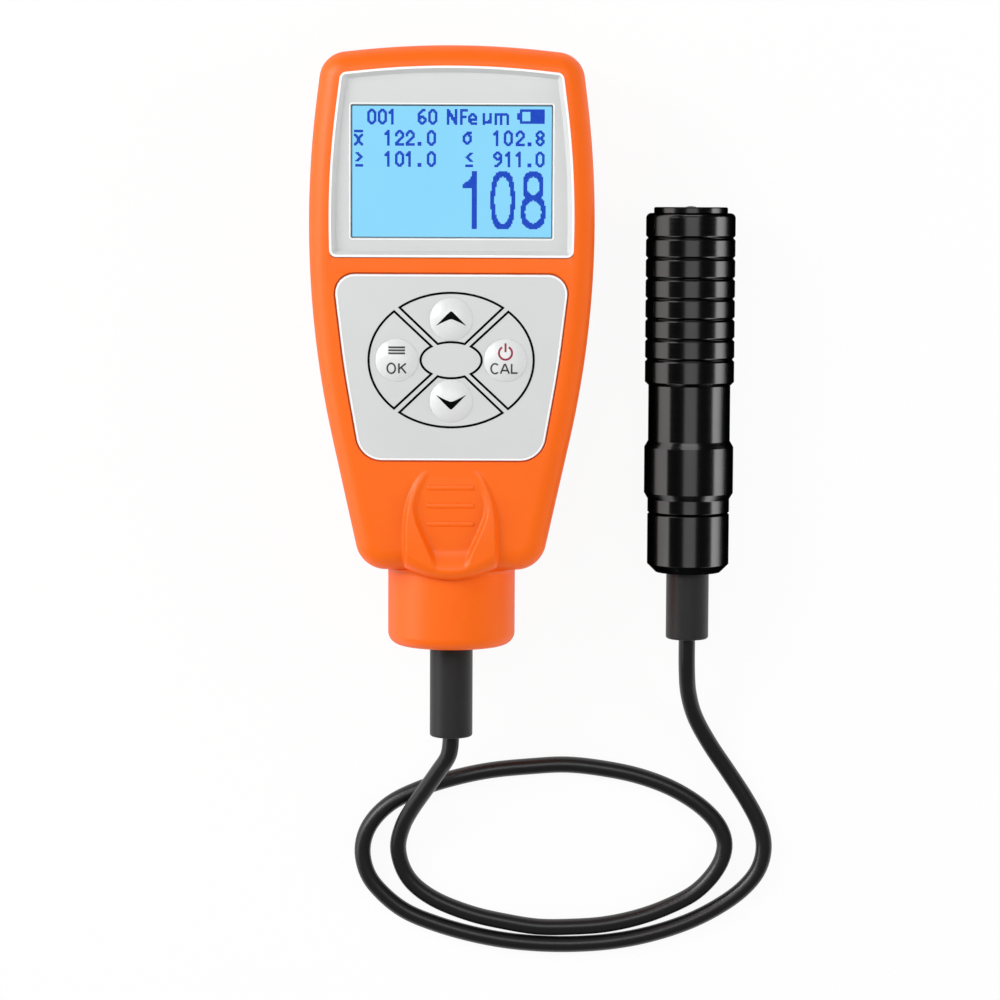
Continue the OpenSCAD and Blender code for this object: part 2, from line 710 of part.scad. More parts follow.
module lcd_panel() {
    color("#8cd9fd") translate([-view_w / 2 - window_lap, view_y - view_h / 2 - window_lap, lcd_z])
        cube([view_w + 2 * window_lap, view_h + 2 * window_lap, lcd_t]);
}

// Frame that carries the LCD on the board, with a light box in it
module lcd_backlight() {
    rim = 2;
    h = lcd_z - board_top;
    size = [view_w + 2 * window_lap, view_h + 2 * window_lap];
    color("white") translate([0, view_y, board_top]) difference() {
        translate([-size.x / 2, -size.y / 2, 0]) cube([size.x, size.y, h]);
        translate([rim - size.x / 2, rim - size.y / 2, h - rim]) cube([size.x - 2 * rim, size.y - 2 * rim, rim + past]);
    }
}

module keypad_panel() {
    color(silver) difference() {
        translate([0, 0, keypad_z]) linear_extrude(keypad_t) keypad_shape();
        for (p = key_places) translate([p.x, p.y, keypad_z - past]) cylinder(d = key_d + 2 * run, h = keypad_t + 2 * past);
    }
}

// A key: a dome over the panel, a flange under it, and a stem down to its switch
module key_at(p) {
    dome_r = (key_d * key_d / 4 + key_h * key_h) / (2 * key_h);
    flange_z = keypad_z - stop - key_flange_t;
    foot_z = switch_top + key_travel + stop;
    color(silver) translate([p.x, p.y, 0]) {
        intersection() {
            translate([0, 0, case_t + key_h - dome_r]) sphere(r = dome_r);
            translate([0, 0, flange_z]) cylinder(d = key_d, h = case_t + key_h + past - flange_z);
        }
        translate([0, 0, flange_z]) cylinder(d = key_d + 2 * key_flange, h = key_flange_t);
        translate([0, 0, foot_z]) cylinder(d = key_stem_d, h = flange_z + key_flange_t / 2 - foot_z);
    }
}

module key_up() key_at(key_up_at);
module key_down() key_at(key_down_at);
module key_menu() key_at(key_menu_at);
module key_power() key_at(key_power_at);

module main_board() {
    color(board_green) translate([0, 0, board_z]) linear_extrude(board_t) intersection() {
        polygon(case_outline(wall + wall_lean + board_margin, 10));
        translate([-case_w, board_foot_y]) square([2 * case_w, board_top_y - board_foot_y]);
    }
}

// Chips beside the keys, flat on the board
chip_w = 7;
chip_t = 1.4;
memory_w = 5;
memory_len = 4;
module board_chips() {
    color(black)
        for (c = [
            [-key_dx, -key_dy - memory_len, chip_w, chip_w],
            [key_dx, -key_dy - memory_len, memory_w, memory_len],
            [key_dx + chip_w, key_dy + memory_len, memory_len, memory_w]
        ])
            translate([c[0] - c[2] / 2, keys_y + c[1] - c[3] / 2, board_top]) cube([c[2], c[3], chip_t]);
}

module tact_switches() {
    body_h = switch_h - 1.5;
    color(black)
        for (p = key_places) translate([p.x, p.y, board_top]) {
            translate([-switch_w / 2, -switch_w / 2, 0]) cube([switch_w, switch_w, body_h]);
            cylinder(d = key_stem_d, h = switch_h);
        }
}

buzzer_d = 9;
buzzer_h = 4;
module buzzer() {
    color(black) translate([-9, board_foot_y + buzzer_d / 2 + 1, board_top]) difference() {
        cylinder(d = buzzer_d, h = buzzer_h);
        translate([0, 0, buzzer_h - 1]) cylinder(d = 2, h = 1 + past);
    }
}

socket_size = [8, 5, 5];
module lead_socket() {
    color("ivory") translate([-socket_size.x / 2, board_foot_y, board_top]) cube(socket_size);
}

// The end of the lead inside the case, from the relief to its socket
module inner_lead() {
    from_y = end_y + collar_wall + relief_flange_t;
    to_z = board_top + socket_size.z / 2;
    path = [
        [0, from_y, split_z], [0, from_y + 3, split_z], [0, mix(from_y, board_foot_y, 0.4), mix(split_z, to_z, 0.2)],
        [0, mix(from_y, board_foot_y, 0.65), mix(split_z, to_z, 0.85)], [0, board_foot_y - 3, to_z], [0, board_foot_y, to_z]
    ];
    color(black) lead_tube(path, lead_d * 0.8);
}

// A cell along y with its nub to the side given by turn
nub_d = 3.8;
nub_h = 0.8;
module cell(x, y, turn) {
    color("#3c6ea5") translate([x, y, cell_z]) rotate([-90 * turn, 0, 0]) {
        cylinder(d = cell_d, h = cell_len - nub_h);
        cylinder(d = nub_d, h = cell_len);
    }
}

module battery_cell_left() cell(-cell_x, box_top_in - contact_t - cell_len, 1);
module battery_cell_right() cell(cell_x, box_foot_in + contact_t + cell_len, -1);

battery_wire = 0.6;
battery_spring_in = 2;
module battery_springs() {
    r = cell_d / 2 - battery_spring_in;
    color(steel) {
        translate([-cell_x, box_foot_in + contact_t, cell_z]) rotate([-90, 0, 0]) coil_spring(spring_len, r, battery_wire, 3);
        translate([cell_x, box_top_in - contact_t, cell_z]) rotate([90, 0, 0]) coil_spring(spring_len, r, battery_wire, 3);
    }
}

contact_w = cell_d - 1.5;
module bridge_contact() {
    color(steel) translate([-cell_x - contact_w / 2, box_top_in - contact_t, cell_z - contact_w / 2])
        cube([2 * cell_x + contact_w, contact_t, contact_w]);
}

module terminal_contacts() {
    color(steel)
        for (x = [-cell_x, cell_x])
            translate([x - contact_w / 2, box_foot_in, cell_z - contact_w / 2]) cube([contact_w, contact_t, contact_w]);
}

// Outline of the battery cover, grown by d: round corners at its foot, square ones at its pivots
module door_plate(d, h, top = door_top_y) {
    mid = (top + door_foot_y) / 2;
    size = [door_w + 2 * d, top - door_foot_y + 2 * d];
    translate([0, mid, 0]) round_plate(size, door_corner_r + d, h);
    translate([-size.x / 2, mid, 0]) cube([size.x, size.y / 2, h]);
}

// Cover with a round upper end that turns on two pivots, and a sprung tongue at its lower end
tongue_w = 8;
tongue_len = 5;
tongue_slit = 0.8;
finger_groove_w = 0.8;
finger_groove_pitch = 1.8;
finger_groove_count = 4;
module battery_cover() {
    color(orange) {
        difference() {
            union() {
                translate([0, 0, door_z]) door_plate(0, door_t, pivot_y);
                translate([-door_w / 2, pivot_y, pivot_z]) rotate([0, 90, 0]) cylinder(d = door_t, h = door_w);
            }
            for (x = [-1, 1])
                translate([x * tongue_w / 2 - tongue_slit / 2, door_foot_y - past, door_z - past])
                    cube([tongue_slit, tongue_len + past, door_t + 2 * past]);
            for (i = [1 : finger_groove_count])
                translate([-finger_groove_len / 2, door_foot_y + tongue_len + finger_groove_pitch * i, door_z - past])
                    cube([finger_groove_len, finger_groove_w, past + finger_groove_h]);
        }
        translate([-door_w / 2 - pivot_out, pivot_y, pivot_z]) rotate([0, 90, 0]) cylinder(d = pivot_d, h = door_w + 2 * pivot_out);
    }
}

module case_screws() {
    color(steel)
        for (p = concat(top_posts, low_posts)) translate([p.x, p.y, screw_sink]) {
            cylinder(d = screw_d, h = screw_len - past);
            difference() {
                translate([0, 0, -screw_head_h]) cylinder(d = screw_head_d, h = screw_head_h);
                for (a = [0, 90]) rotate(a) translate([-1.3, -0.3, -screw_head_h - past]) cube([2.6, 0.6, 0.8 + past]);
            }
        }
}

// A relief along z: a flange and a neck behind a wall of the given thickness, and a sleeve in front of it
module relief(neck, sleeve) {
    edge = 0.5;
    rotate_extrude() polygon([
        [0, -neck - relief_flange_t], [relief_flange_d / 2, -neck - relief_flange_t], [relief_flange_d / 2, -neck],
        [neck_d / 2, -neck], [neck_d / 2, 0], [relief_d / 2, 0], [relief_d / 2, sleeve - edge],
        [relief_d / 2 - edge, sleeve], [lead_d / 2 + seat, sleeve], [lead_d / 2 + seat, sleeve - lead_sink],
        [0, sleeve - lead_sink]
    ]);
}

module case_relief() color(rubber_grey) along_case(end_y) relief(collar_wall, case_relief_len);
module probe_relief() color(rubber_grey) along_probe(cap_end) relief(cap_len + cap_spigot_len, probe_relief_len);
module probe_lead() color(black) lead_tube(lead_route, lead_d);

module probe_end_cap() {
    r = barrel_d / 2;
    hole_r = neck_d / 2 + seat;
    spigot_r = barrel_bore_r - seat;
    color(black) along_probe(barrel_end) rotate_extrude() polygon([
        [hole_r, -cap_spigot_len], [spigot_r, -cap_spigot_len], [spigot_r, 0], [r - seam_chamfer, 0],
        [r, seam_chamfer], [r, cap_len - cap_chamfer], [r - cap_chamfer, cap_len], [hole_r, cap_len]
    ]);
}

module probe_barrel() {
    r = barrel_d / 2;
    ring_r = sleeve_d / 2;
    spigot_r = bore_r - seat;
    color(black) along_probe(sleeve_end) rotate_extrude() polygon([
        [barrel_bore_r, -spigot_len], [spigot_r, -spigot_len], [spigot_r, 0], [r, 0], [r, ring_start],
        [ring_r, ring_start + ring_chamfer], [ring_r, ring_start + ring_len - ring_chamfer], [r, ring_start + ring_len],
        [r, barrel_len - seam_chamfer], [r - seam_chamfer, barrel_len], [barrel_bore_r, barrel_len]
    ]);
}

// Turned sleeve with V grooves, a rounded front edge and a lip that keeps the sensor in
module probe_sleeve() {
    r = sleeve_d / 2;
    lip_r = tip_d / 2 + run;
    color(black) along_probe(sleeve_start) rotate_extrude() polygon(concat(
        [[lip_r, 0]],
        [for (t = [0 : 15 : 90]) [r - sleeve_edge_r * (1 - sin(t)), sleeve_edge_r * (1 - cos(t))]],
        [for (i = [0 : groove_count - 1], v = [[0, -0.5], [1, 0], [0, 0.5]])
            [r - groove_h * v[0], groove_start + groove_pitch * i + groove_w * v[1]]],
        [[r, sleeve_len - barrel_step], [r - barrel_step, sleeve_len], [bore_r, sleeve_len],
         [bore_r, sleeve_lip], [lip_r, sleeve_lip]]
    ));
}

// Cup that carries the coil and the pole, with a shoulder behind the sleeve's lip
module sensor_carrier() {
    r = tip_d / 2;
    shoulder = sleeve_start + sleeve_lip + stop;
    edge = 0.2;
    color("#242428") along_probe() rotate_extrude() polygon([
        [pole_d / 2 + stop, 0], [r - edge, 0], [r, edge], [r, shoulder], [r + carrier_step, shoulder],
        [r + carrier_step, carrier_back], [cup_r, carrier_back], [cup_r, cup_wall], [pole_d / 2 + stop, cup_wall]
    ]);
}

module pole_tip() {
    dome_r = (pole_d * pole_d / 4 + pole_h * pole_h) / (2 * pole_h);
    color(steel) along_probe() {
        translate([0, 0, 0]) cylinder(d = pole_d, h = cup_wall + coil_len);
        intersection() {
            translate([0, 0, dome_r - pole_h]) sphere(r = dome_r);
            translate([0, 0, -past]) cylinder(d = pole_d, h = 2 * past);
        }
    }
}

module sensor_coil() {
    color("#b0672c") along_probe(cup_wall) difference() {
        cylinder(r = cup_r - seat, h = coil_len);
        translate([0, 0, -past]) cylinder(d = pole_d + 2 * seat, h = coil_len + 2 * past);
    }
}

module sensor_spring() {
    color(steel) along_probe(carrier_back)
        coil_spring(spigot_start - carrier_back, bore_r - carrier_step - spring_wire, spring_wire, 5);
}

front_cover();
rear_cover();
display_bezel();
display_window();
lcd_panel();
lcd_backlight();
keypad_panel();
key_up();
key_down();
key_menu();
key_power();
main_board();
board_chips();
tact_switches();
buzzer();
lead_socket();
inner_lead();
battery_cell_left();
battery_cell_right();
battery_springs();
bridge_contact();
terminal_contacts();
battery_cover();
case_screws();
case_relief();
probe_lead();
probe_relief();
probe_end_cap();
probe_barrel();
probe_sleeve();
sensor_carrier();
pole_tip();
sensor_coil();
sensor_spring();
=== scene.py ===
# %% [markdown]
# A coating thickness gauge, dressed for its picture
#
# The gauge is an orange moulded case with a display, four dome keys and a thumb grip. A thin lead joins it
# to a black turned probe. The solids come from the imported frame, in metres. This lesson puts smooth
# moulded, turned and printed surfaces where those solids are, and gives every surface its finish.

# %% Load the frame
import json
import math

import bmesh
import bpy
import numpy as np
from mathutils import Matrix, Vector
from mathutils.geometry import tessellate_polygon

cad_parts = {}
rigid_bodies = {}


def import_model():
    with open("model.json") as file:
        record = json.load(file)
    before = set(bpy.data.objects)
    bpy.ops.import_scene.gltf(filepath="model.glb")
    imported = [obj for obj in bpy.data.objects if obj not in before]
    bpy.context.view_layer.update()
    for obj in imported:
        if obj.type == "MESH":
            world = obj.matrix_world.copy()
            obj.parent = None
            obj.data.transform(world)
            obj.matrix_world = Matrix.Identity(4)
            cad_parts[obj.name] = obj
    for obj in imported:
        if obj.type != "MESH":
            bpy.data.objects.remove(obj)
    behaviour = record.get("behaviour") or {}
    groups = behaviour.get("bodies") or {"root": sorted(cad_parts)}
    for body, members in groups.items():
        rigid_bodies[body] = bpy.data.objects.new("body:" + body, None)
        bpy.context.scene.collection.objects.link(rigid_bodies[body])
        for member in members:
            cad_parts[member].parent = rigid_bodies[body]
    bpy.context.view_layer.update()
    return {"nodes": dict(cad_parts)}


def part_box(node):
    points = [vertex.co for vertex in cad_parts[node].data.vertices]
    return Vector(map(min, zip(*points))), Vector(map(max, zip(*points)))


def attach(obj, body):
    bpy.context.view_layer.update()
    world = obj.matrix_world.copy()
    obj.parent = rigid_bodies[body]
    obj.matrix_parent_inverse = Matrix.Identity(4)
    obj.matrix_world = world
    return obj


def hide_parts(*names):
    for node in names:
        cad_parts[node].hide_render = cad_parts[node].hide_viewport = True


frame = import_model()
MM = 0.001


def box_mm(node):
    """Lowest and highest corner of a solid of the frame, in millimetres."""
    low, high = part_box(node)
    return np.array(low) / MM, np.array(high) / MM


print("solids in the frame:", len(frame["nodes"]))

# %% [markdown]
# The camera stands almost straight above the face, and its long focal length hides most of the sides.
# It could be aimed with a constraint, but its three axes follow from the way it looks and from what is right.
# The lamps are turned by the same function.

# %% The camera
CAMERA_MM = np.array([9.2, 27.9, 631.0])
AIM_MM = np.array([9.2, -29.1, 13.5])
FOCAL_MM = 117.0
SENSOR_MM = 36.0
ROLL = math.radians(0.25)


def facing(way, right):
    """Turn of a thing that looks along way: its own -Z is way, and its X lies as near to right as can be."""
    backwards = -Vector(way).normalized()
    upwards = backwards.cross(Vector(right)).normalized()
    return Matrix((upwards.cross(backwards), upwards, backwards)).transposed().to_quaternion()


camera_data = bpy.data.cameras.new("camera")
camera_data.lens = FOCAL_MM
camera_data.sensor_width = SENSOR_MM
camera = bpy.data.objects.new("camera", camera_data)
bpy.context.scene.collection.objects.link(camera)
camera.location = Vector(CAMERA_MM * MM)
camera.rotation_mode = "QUATERNION"
camera.rotation_quaternion = facing(AIM_MM - CAMERA_MM, (math.cos(ROLL), math.sin(ROLL), 0))
bpy.context.scene.camera = camera
bpy.context.scene.view_settings.view_transform = "Standard"
print("camera height in mm:", CAMERA_MM[2])

# %% [markdown]
# Every finish here is a Principled shader with two noises, because a moulded or rubbed surface is never one
# flat colour: a slow noise drifts the colour a little, and a fine grain changes the gloss and the height.
# Colours are written as the sRGB hex values that a colour picker shows, and one function makes them linear.

# %% Colours and nodes


def hex_linear(code):
    """Linear red, green, blue and an alpha of 1 from an sRGB hex colour."""
    channels = np.array([int(code[i : i + 2], 16) for i in (1, 3, 5)]) / 255
    linear = np.where(channels <= 0.04045, channels / 12.92, ((channels + 0.055) / 1.055) ** 2.4)
    return (*linear.tolist(), 1.0)


def add_node(tree, kind, sockets=None, **settings):
    """Add a shader node, apply its settings, and set or link its sockets by name or number."""
    node = tree.nodes.new("ShaderNode" + kind)
    for key, value in settings.items():
        setattr(node, key, value)
    for key, value in (sockets or {}).items():
        if isinstance(value, bpy.types.NodeSocket):
            tree.links.new(value, node.inputs[key])
        else:
            node.inputs[key].default_value = value
    return node


def finish(name, colours, drift_mm, roughness, grain_mm, depth_mm, line_mm=None, **constants):
    """
    A material whose colour drifts between two hex colours over drift_mm. Its grain of grain_mm moves the
    roughness between two values and lifts the surface by depth_mm. With line_mm the grain runs round the
    object's Y axis in lathe lines of that pitch. Constants go to the shader's own sockets.
    """
    material = bpy.data.materials.new(name)
    material.use_nodes = True
    tree = material.node_tree
    tree.nodes.clear()
    place = add_node(tree, "TexCoord").outputs["Object"]
    drift = add_node(tree, "TexNoise", {"Vector": place, "Scale": 1 / (drift_mm * MM), "Detail": 3.0})
    first, second = (hex_linear(code) for code in colours)
    tint = add_node(tree, "Mix", {0: drift.outputs[0], 6: first, 7: second}, data_type="RGBA")
    if line_mm:
        along = add_node(tree, "SeparateXYZ", {"Vector": place}).outputs["Y"]
        grain = add_node(
            tree, "TexNoise", {"W": along, "Scale": 1 / (line_mm * MM)}, noise_dimensions="1D"
        )
    else:
        grain = add_node(tree, "TexNoise", {"Vector": place, "Scale": 1 / (grain_mm * MM), "Detail": 2.0})
    gloss = add_node(
        tree, "MapRange", {"Value": grain.outputs[0], "To Min": roughness[0], "To Max": roughness[1]}
    )
    relief = add_node(tree, "Bump", {"Height": grain.outputs[0], "Distance": depth_mm * MM})
    shader = add_node(
        tree,
        "BsdfPrincipled",
        {
            "Base Color": tint.outputs[2],
            "Roughness": gloss.outputs[0],
            "Normal": relief.outputs["Normal"],
            **{key.replace("_", " "): value for key, value in constants.items()},
        },
    )
    add_node(tree, "OutputMaterial", {"Surface": shader.outputs[0]})
    return material


print("white as linear:", hex_linear("#ffffff"))

# %% [markdown]
# The lead is a 3.2 mm PVC-jacketed cable. It leaves the case's rubber relief, drops to the table, makes one
# loose loop and climbs into the relief of the probe. One Bezier spline through the points of its route, with
# handles along the line between each point's neighbours, runs smoothly, and its bevel gives the thickness.

# %% The lead
LEAD_D = 3.2
LEAD_ROUTE_MM = np.array(
    """
    0 -71.6 13.5, 0 -74.6 13.5, -0.5 -78.5 13, -2.5 -82 11, -5 -86 8.5, -7.5 -90 6, -9.5 -94 3.8,
    -10.5 -98.5 2.3, -9.5 -103 1.7, -7 -106.5 1.6, -2.5 -109.5 1.6, 4 -112 1.6, 10.5 -113.5 1.6,
    17 -114.5 1.6, 23.5 -114.5 1.6, 30 -114 1.6, 36.5 -112.6 1.6, 42.5 -110.4 1.6, 48 -107.4 1.6,
    52 -103 1.6, 53.6 -98.5 1.6, 52.5 -94.4 1.6, 49 -90.5 1.6, 43.5 -87 1.6, 37 -84.5 1.6, 30 -83 1.6,
    22.5 -82.2 1.6, 15 -82.6 1.6, 7.5 -83.4 1.6, 0.5 -84.9 1.6, -6 -87 1.6, -12 -90 1.6, -16 -94.2 1.6,
    -17.5 -99 1.6, -16.5 -104 1.6, -13.5 -108 1.6, -9 -111.5 1.6, -3 -114 1.6, 4 -116 1.6,
    11 -117.3 1.6, 18 -117.9 1.6, 25 -117.9 1.6, 32 -117.3 1.6, 39 -115.9 1.6, 46 -113.6 1.6,
    52 -110.6 1.6, 57 -107 1.6, 60.2 -103 1.6, 61.3 -98.5 1.6, 60.4 -94 1.6, 57.8 -89 1.6,
    54.2 -83.5 1.7, 50.5 -78 2.3, 47.5 -72.5 3.6, 46 -67.5 5.6, 45.5 -62.5 7.6, 45.4 -56.2 8.55,
    45.4 -53.2 8.55
    """.replace(",", " ").split(),
    float,
).reshape(-1, 3)

# PVC comes off the extruder smooth and a little soft, so it shows one narrow dull highlight along its run
pvc_jacket = finish(
    "black PVC, extruded", ("#0a0a0b", "#0e0e0f"), 6.0, (0.30, 0.38), 0.8, 0.003, IOR=1.53
)

lead_curve = bpy.data.curves.new("lead_jacket", "CURVE")
lead_curve.dimensions = "3D"
lead_curve.bevel_depth = LEAD_D / 2 * MM
lead_curve.bevel_resolution = 6
lead_curve.use_fill_caps = True
spline = lead_curve.splines.new("BEZIER")
spline.resolution_u = 6
spline.bezier_points.add(len(LEAD_ROUTE_MM) - 1)
spline.bezier_points.foreach_set("co", (LEAD_ROUTE_MM * MM).ravel())
reach = np.gradient(LEAD_ROUTE_MM, axis=0) / 3
spline.bezier_points.foreach_set("handle_left", ((LEAD_ROUTE_MM - reach) * MM).ravel())
spline.bezier_points.foreach_set("handle_right", ((LEAD_ROUTE_MM + reach) * MM).ravel())
lead_curve.materials.append(pvc_jacket)
lead = bpy.data.objects.new("lead_jacket", lead_curve)
bpy.context.scene.collection.objects.link(lead)
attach(lead, "case")
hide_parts("probe_lead")

# %% [markdown]
# Most pieces are lofts: the same outline drawn at several heights, each time a little further inside. An
# outline is a list of corners with a radius each. Moving every edge inwards gives the next outline, and
# because each corner always gets the same number of points, the outlines join up row by row.

# %% Outlines
CORNER_STEPS = 24
# The least radius of a corner in millimetres, small enough to look sharp
SHARP = 0.02


def unit(v):
    """Vectors of length one, with a vector of no length left as it is."""
    return v / np.maximum(np.linalg.norm(v, axis=-1, keepdims=True), 1e-12)


def inset(corners, d):
    """Corners (x, y, radius) of an anticlockwise outline, with each edge moved inwards by d."""
    place = corners[:, :2]
    into = unit(place - np.roll(place, 1, 0))
    out = unit(np.roll(place, -1, 0) - place)
    left_in = np.column_stack([-into[:, 1], into[:, 0]])
    left_out = np.column_stack([-out[:, 1], out[:, 0]])
    move = (left_in + left_out) * d / (1 + (left_in * left_out).sum(1, keepdims=True))
    return np.column_stack([place + move, np.maximum(corners[:, 2] - d, SHARP)])


def rounded(corners, steps=CORNER_STEPS):
    """Points of an outline: at each corner an arc of its radius, from edge to edge, turned step by step."""
    corners = np.asarray(corners, float)
    place, radius = corners[:, :2], corners[:, 2:]
    back = unit(np.roll(place, 1, 0) - place)
    ahead = unit(np.roll(place, -1, 0) - place)
    half = np.arccos(np.clip((back * ahead).sum(1, keepdims=True), -1, 1)) / 2
    middle = place + unit(back + ahead) * radius / np.sin(half)
    start = place + back * radius / np.tan(half) - middle
    side = np.sign(back[:, 1] * ahead[:, 0] - back[:, 0] * ahead[:, 1])
    turn = (side * (np.pi - 2 * half[:, 0]))[:, None] * np.linspace(0, 1, steps + 1)
    x = start[:, :1] * np.cos(turn) - start[:, 1:] * np.sin(turn)
    y = start[:, :1] * np.sin(turn) + start[:, 1:] * np.cos(turn)
    return (middle[:, None] + np.stack([x, y], -1)).reshape(-1, 2)


def circle(centre, radius, steps=96):
    """Points round a circle."""
    angle = np.linspace(0, 2 * np.pi, steps, endpoint=False)
    return np.asarray(centre) + radius * np.column_stack([np.cos(angle), np.sin(angle)])


def lift(outline, z):
    """A flat outline as points in space at the height z, or at one height for each point."""
    return np.column_stack([outline, np.broadcast_to(z, len(outline))])


print("points of a rounded square:", len(rounded([(0, 0, 1), (9, 0, 1), (9, 9, 1), (0, 9, 1)])))

# %% [markdown]
# Three kinds of surface make all the rigid pieces: a grid of quads between rows of points, a flat plate with
# holes that Blender cuts into triangles, and a profile turned round an axis. A piece is a few of these
# joined edge to edge. Its doubles are merged and its normals recalculated, so that it is a closed shell.

# %% Surfaces and pieces
MERGE_MM = 0.002


def grid(rows, closed=True):
    """Quads between neighbouring rows and columns of points; closed joins the last column to the first."""
    count, across = rows.shape[:2]
    index = np.arange(count * across).reshape(count, across)
    if closed:
        index = np.column_stack([index, index[:, 0]])
    quads = np.stack([index[:-1, :-1], index[:-1, 1:], index[1:, 1:], index[1:, :-1]], -1)
    return rows.reshape(-1, 3), quads.reshape(-1, 4)


def loft(outline, levels):
    """A wall through the outline at each level, a pair of height and inset."""
    return grid(np.stack([lift(outline(d), z) for z, d in levels]))


def cap(*loops):
    """A flat face inside the first loop of points in space and outside the others."""
    triangles = tessellate_polygon([[Vector(point) for point in loop] for loop in loops])
    return np.concatenate(loops), np.array(triangles)


def plate(z, *outlines):
    """A flat face at the height z inside the first outline and outside the others."""
    return cap(*[lift(outline, z) for outline in outlines])


def turned(profile, centre, axis=1, sweep=(0, 2 * np.pi), steps=128):
    """Points (radius, distance) of a profile carried round the axis numbered axis through centre."""
    whole = np.isclose(sweep[1] - sweep[0], 2 * np.pi)
    angle = np.linspace(*sweep, steps + 1)[: steps if whole else None]
    radius, along = np.asarray(profile, float)[:, :2].T[:, :, None]
    space = np.empty((len(profile), len(angle), 3))
    others = [i for i in range(3) if i != axis]
    space[..., axis] = centre[axis] + along
    space[..., others[0]] = centre[others[0]] + radius * np.cos(angle)
    space[..., others[1]] = centre[others[1]] + radius * np.sin(angle)
    return grid(space, whole)


def make_piece(name, surfaces, material, body, stands_for=(), crease_deg=35):
    """Join surfaces given in millimetres into one piece that rides on a body and may stand for solids."""
    starts = np.cumsum([0] + [len(points) for points, faces in surfaces])
    points = np.concatenate([points for points, faces in surfaces]) * MM
    faces = [face for (_, part), start in zip(surfaces, starts) for face in (part + start).tolist()]
    mesh = bpy.data.meshes.new(name)
    mesh.from_pydata(points.tolist(), [], faces)
    work = bmesh.new()
    work.from_mesh(mesh)
    bmesh.ops.remove_doubles(work, verts=work.verts, dist=MERGE_MM * MM)
    bmesh.ops.recalc_face_normals(work, faces=work.faces)
    work.to_mesh(mesh)
    work.free()
    mesh.shade_smooth()
    mesh.set_sharp_from_angle(angle=math.radians(crease_deg))
    mesh.materials.append(material)
    piece = bpy.data.objects.new(name, mesh)
    bpy.context.scene.collection.objects.link(piece)
    shade = piece.modifiers.new("flat faces keep their own shade", "WEIGHTED_NORMAL")
    shade.keep_sharp = True
    shade.weight = 100
    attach(piece, body)
    if stands_for:
        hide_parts(*stands_for)
    open_edges = np.bincount([loop.edge_index for loop in mesh.loops]) != 2
    print(f"{name}: {len(mesh.polygons)} faces, {int(open_edges.sum())} open edges")


# %% [markdown]
# The case's outline follows the frame: a slightly crowned top edge, sides that lean apart above the widest
# place and together below it with one long bulge between, and round corners beside the collar.

# %% Outline of the case
front_low, front_high = box_mm("front_cover")
bezel_low, bezel_high = box_mm("display_bezel")
TOP_Y, END_Y = front_high[1], front_low[1]
HALF_W = front_high[0]
FACE_Z = bezel_high[2]
SPLIT_Z = FACE_Z / 2
COLLAR_LEN = 15.1
FOOT_Y = END_Y + COLLAR_LEN
UPPER_LEAN, LOWER_LEAN = math.radians(7.3), math.radians(12.5)
SHOULDER_DROP = 42.0
SIDE_R, CROWN_R, CROWN_HALF = 185.0, 160.0, 17.0
TOP_CORNER_R, FOOT_CORNER_R = 5.5, 6.0

half_turn, skew = (LOWER_LEAN + UPPER_LEAN) / 2, (LOWER_LEAN - UPPER_LEAN) / 2
shoulder_x = HALF_W + SIDE_R * (math.cos(skew) / math.cos(half_turn) - 1)
shoulder_y = TOP_Y - SHOULDER_DROP
crown_slope = math.tan(math.asin(CROWN_HALF / CROWN_R))
side_slope = math.tan(UPPER_LEAN)
apex_y = TOP_Y + CROWN_R * (math.hypot(1, crown_slope) - 1)
corner_y = (apex_y - crown_slope * (shoulder_x + side_slope * shoulder_y)) / (1 - crown_slope * side_slope)
corner_x = shoulder_x - side_slope * (corner_y - shoulder_y)
foot_x = shoulder_x - math.tan(LOWER_LEAN) * (shoulder_y - FOOT_Y)


def both_sides(left):
    """Corners down the left side, followed by their mirror images up the right side."""
    left = np.array(left, float)
    return np.concatenate([left, left[::-1] * (-1, 1, 1)])


case_corners = np.concatenate(
    [
        [(0, apex_y, CROWN_R)],
        both_sides(
            [
                (-corner_x, corner_y, TOP_CORNER_R),
                (-shoulder_x, shoulder_y, SIDE_R),
                (-foot_x, FOOT_Y, FOOT_CORNER_R),
            ]
        ),
    ]
)


def case_outline(d):
    """The case's outline, d inside its widest place."""
    return rounded(inset(case_corners, d))


print("widest place of the outline:", case_outline(0)[:, 0].max(), "of", HALF_W)

# %% [markdown]
# The display bezel and the keypad panel lie in openings of the front cover, so their outlines come before it.
# The bezel keeps an even margin to the case and is cut straight across. The keypad narrows like the case.

# %% Outline of the bezel
BEZEL_INSET, BEZEL_CORNER_R = 4.1, 1.4
bezel_foot_y = bezel_low[1]
bulge_y = shoulder_y + SIDE_R * math.sin(skew) / math.cos(half_turn)
bulge_r = SIDE_R - BEZEL_INSET
foot_lean = math.asin((bezel_foot_y - bulge_y) / bulge_r)
side_mid, side_half = (UPPER_LEAN + foot_lean) / 2, (UPPER_LEAN - foot_lean) / 2
bulge_x = HALF_W - SIDE_R
SIDE_ROOM = 0.9
inner_case = inset(case_corners, BEZEL_INSET)
bezel_corners = np.concatenate(
    [
        inner_case[:1],
        both_sides(
            [
                (*inner_case[1, :2], BEZEL_CORNER_R),
                (
                    -bulge_x - bulge_r / math.cos(side_half) * math.cos(side_mid),
                    bulge_y + bulge_r / math.cos(side_half) * math.sin(side_mid),
                    bulge_r * SIDE_ROOM,
                ),
                (-bulge_x - bulge_r * math.cos(foot_lean), bezel_foot_y, BEZEL_CORNER_R),
            ]
        ),
    ]
)


def bezel_outline(d):
    """The bezel's outline, d inside its edge."""
    return rounded(inset(bezel_corners, d))


print("bezel half width:", bezel_outline(0)[:, 0].max(), "of", bezel_high[0])

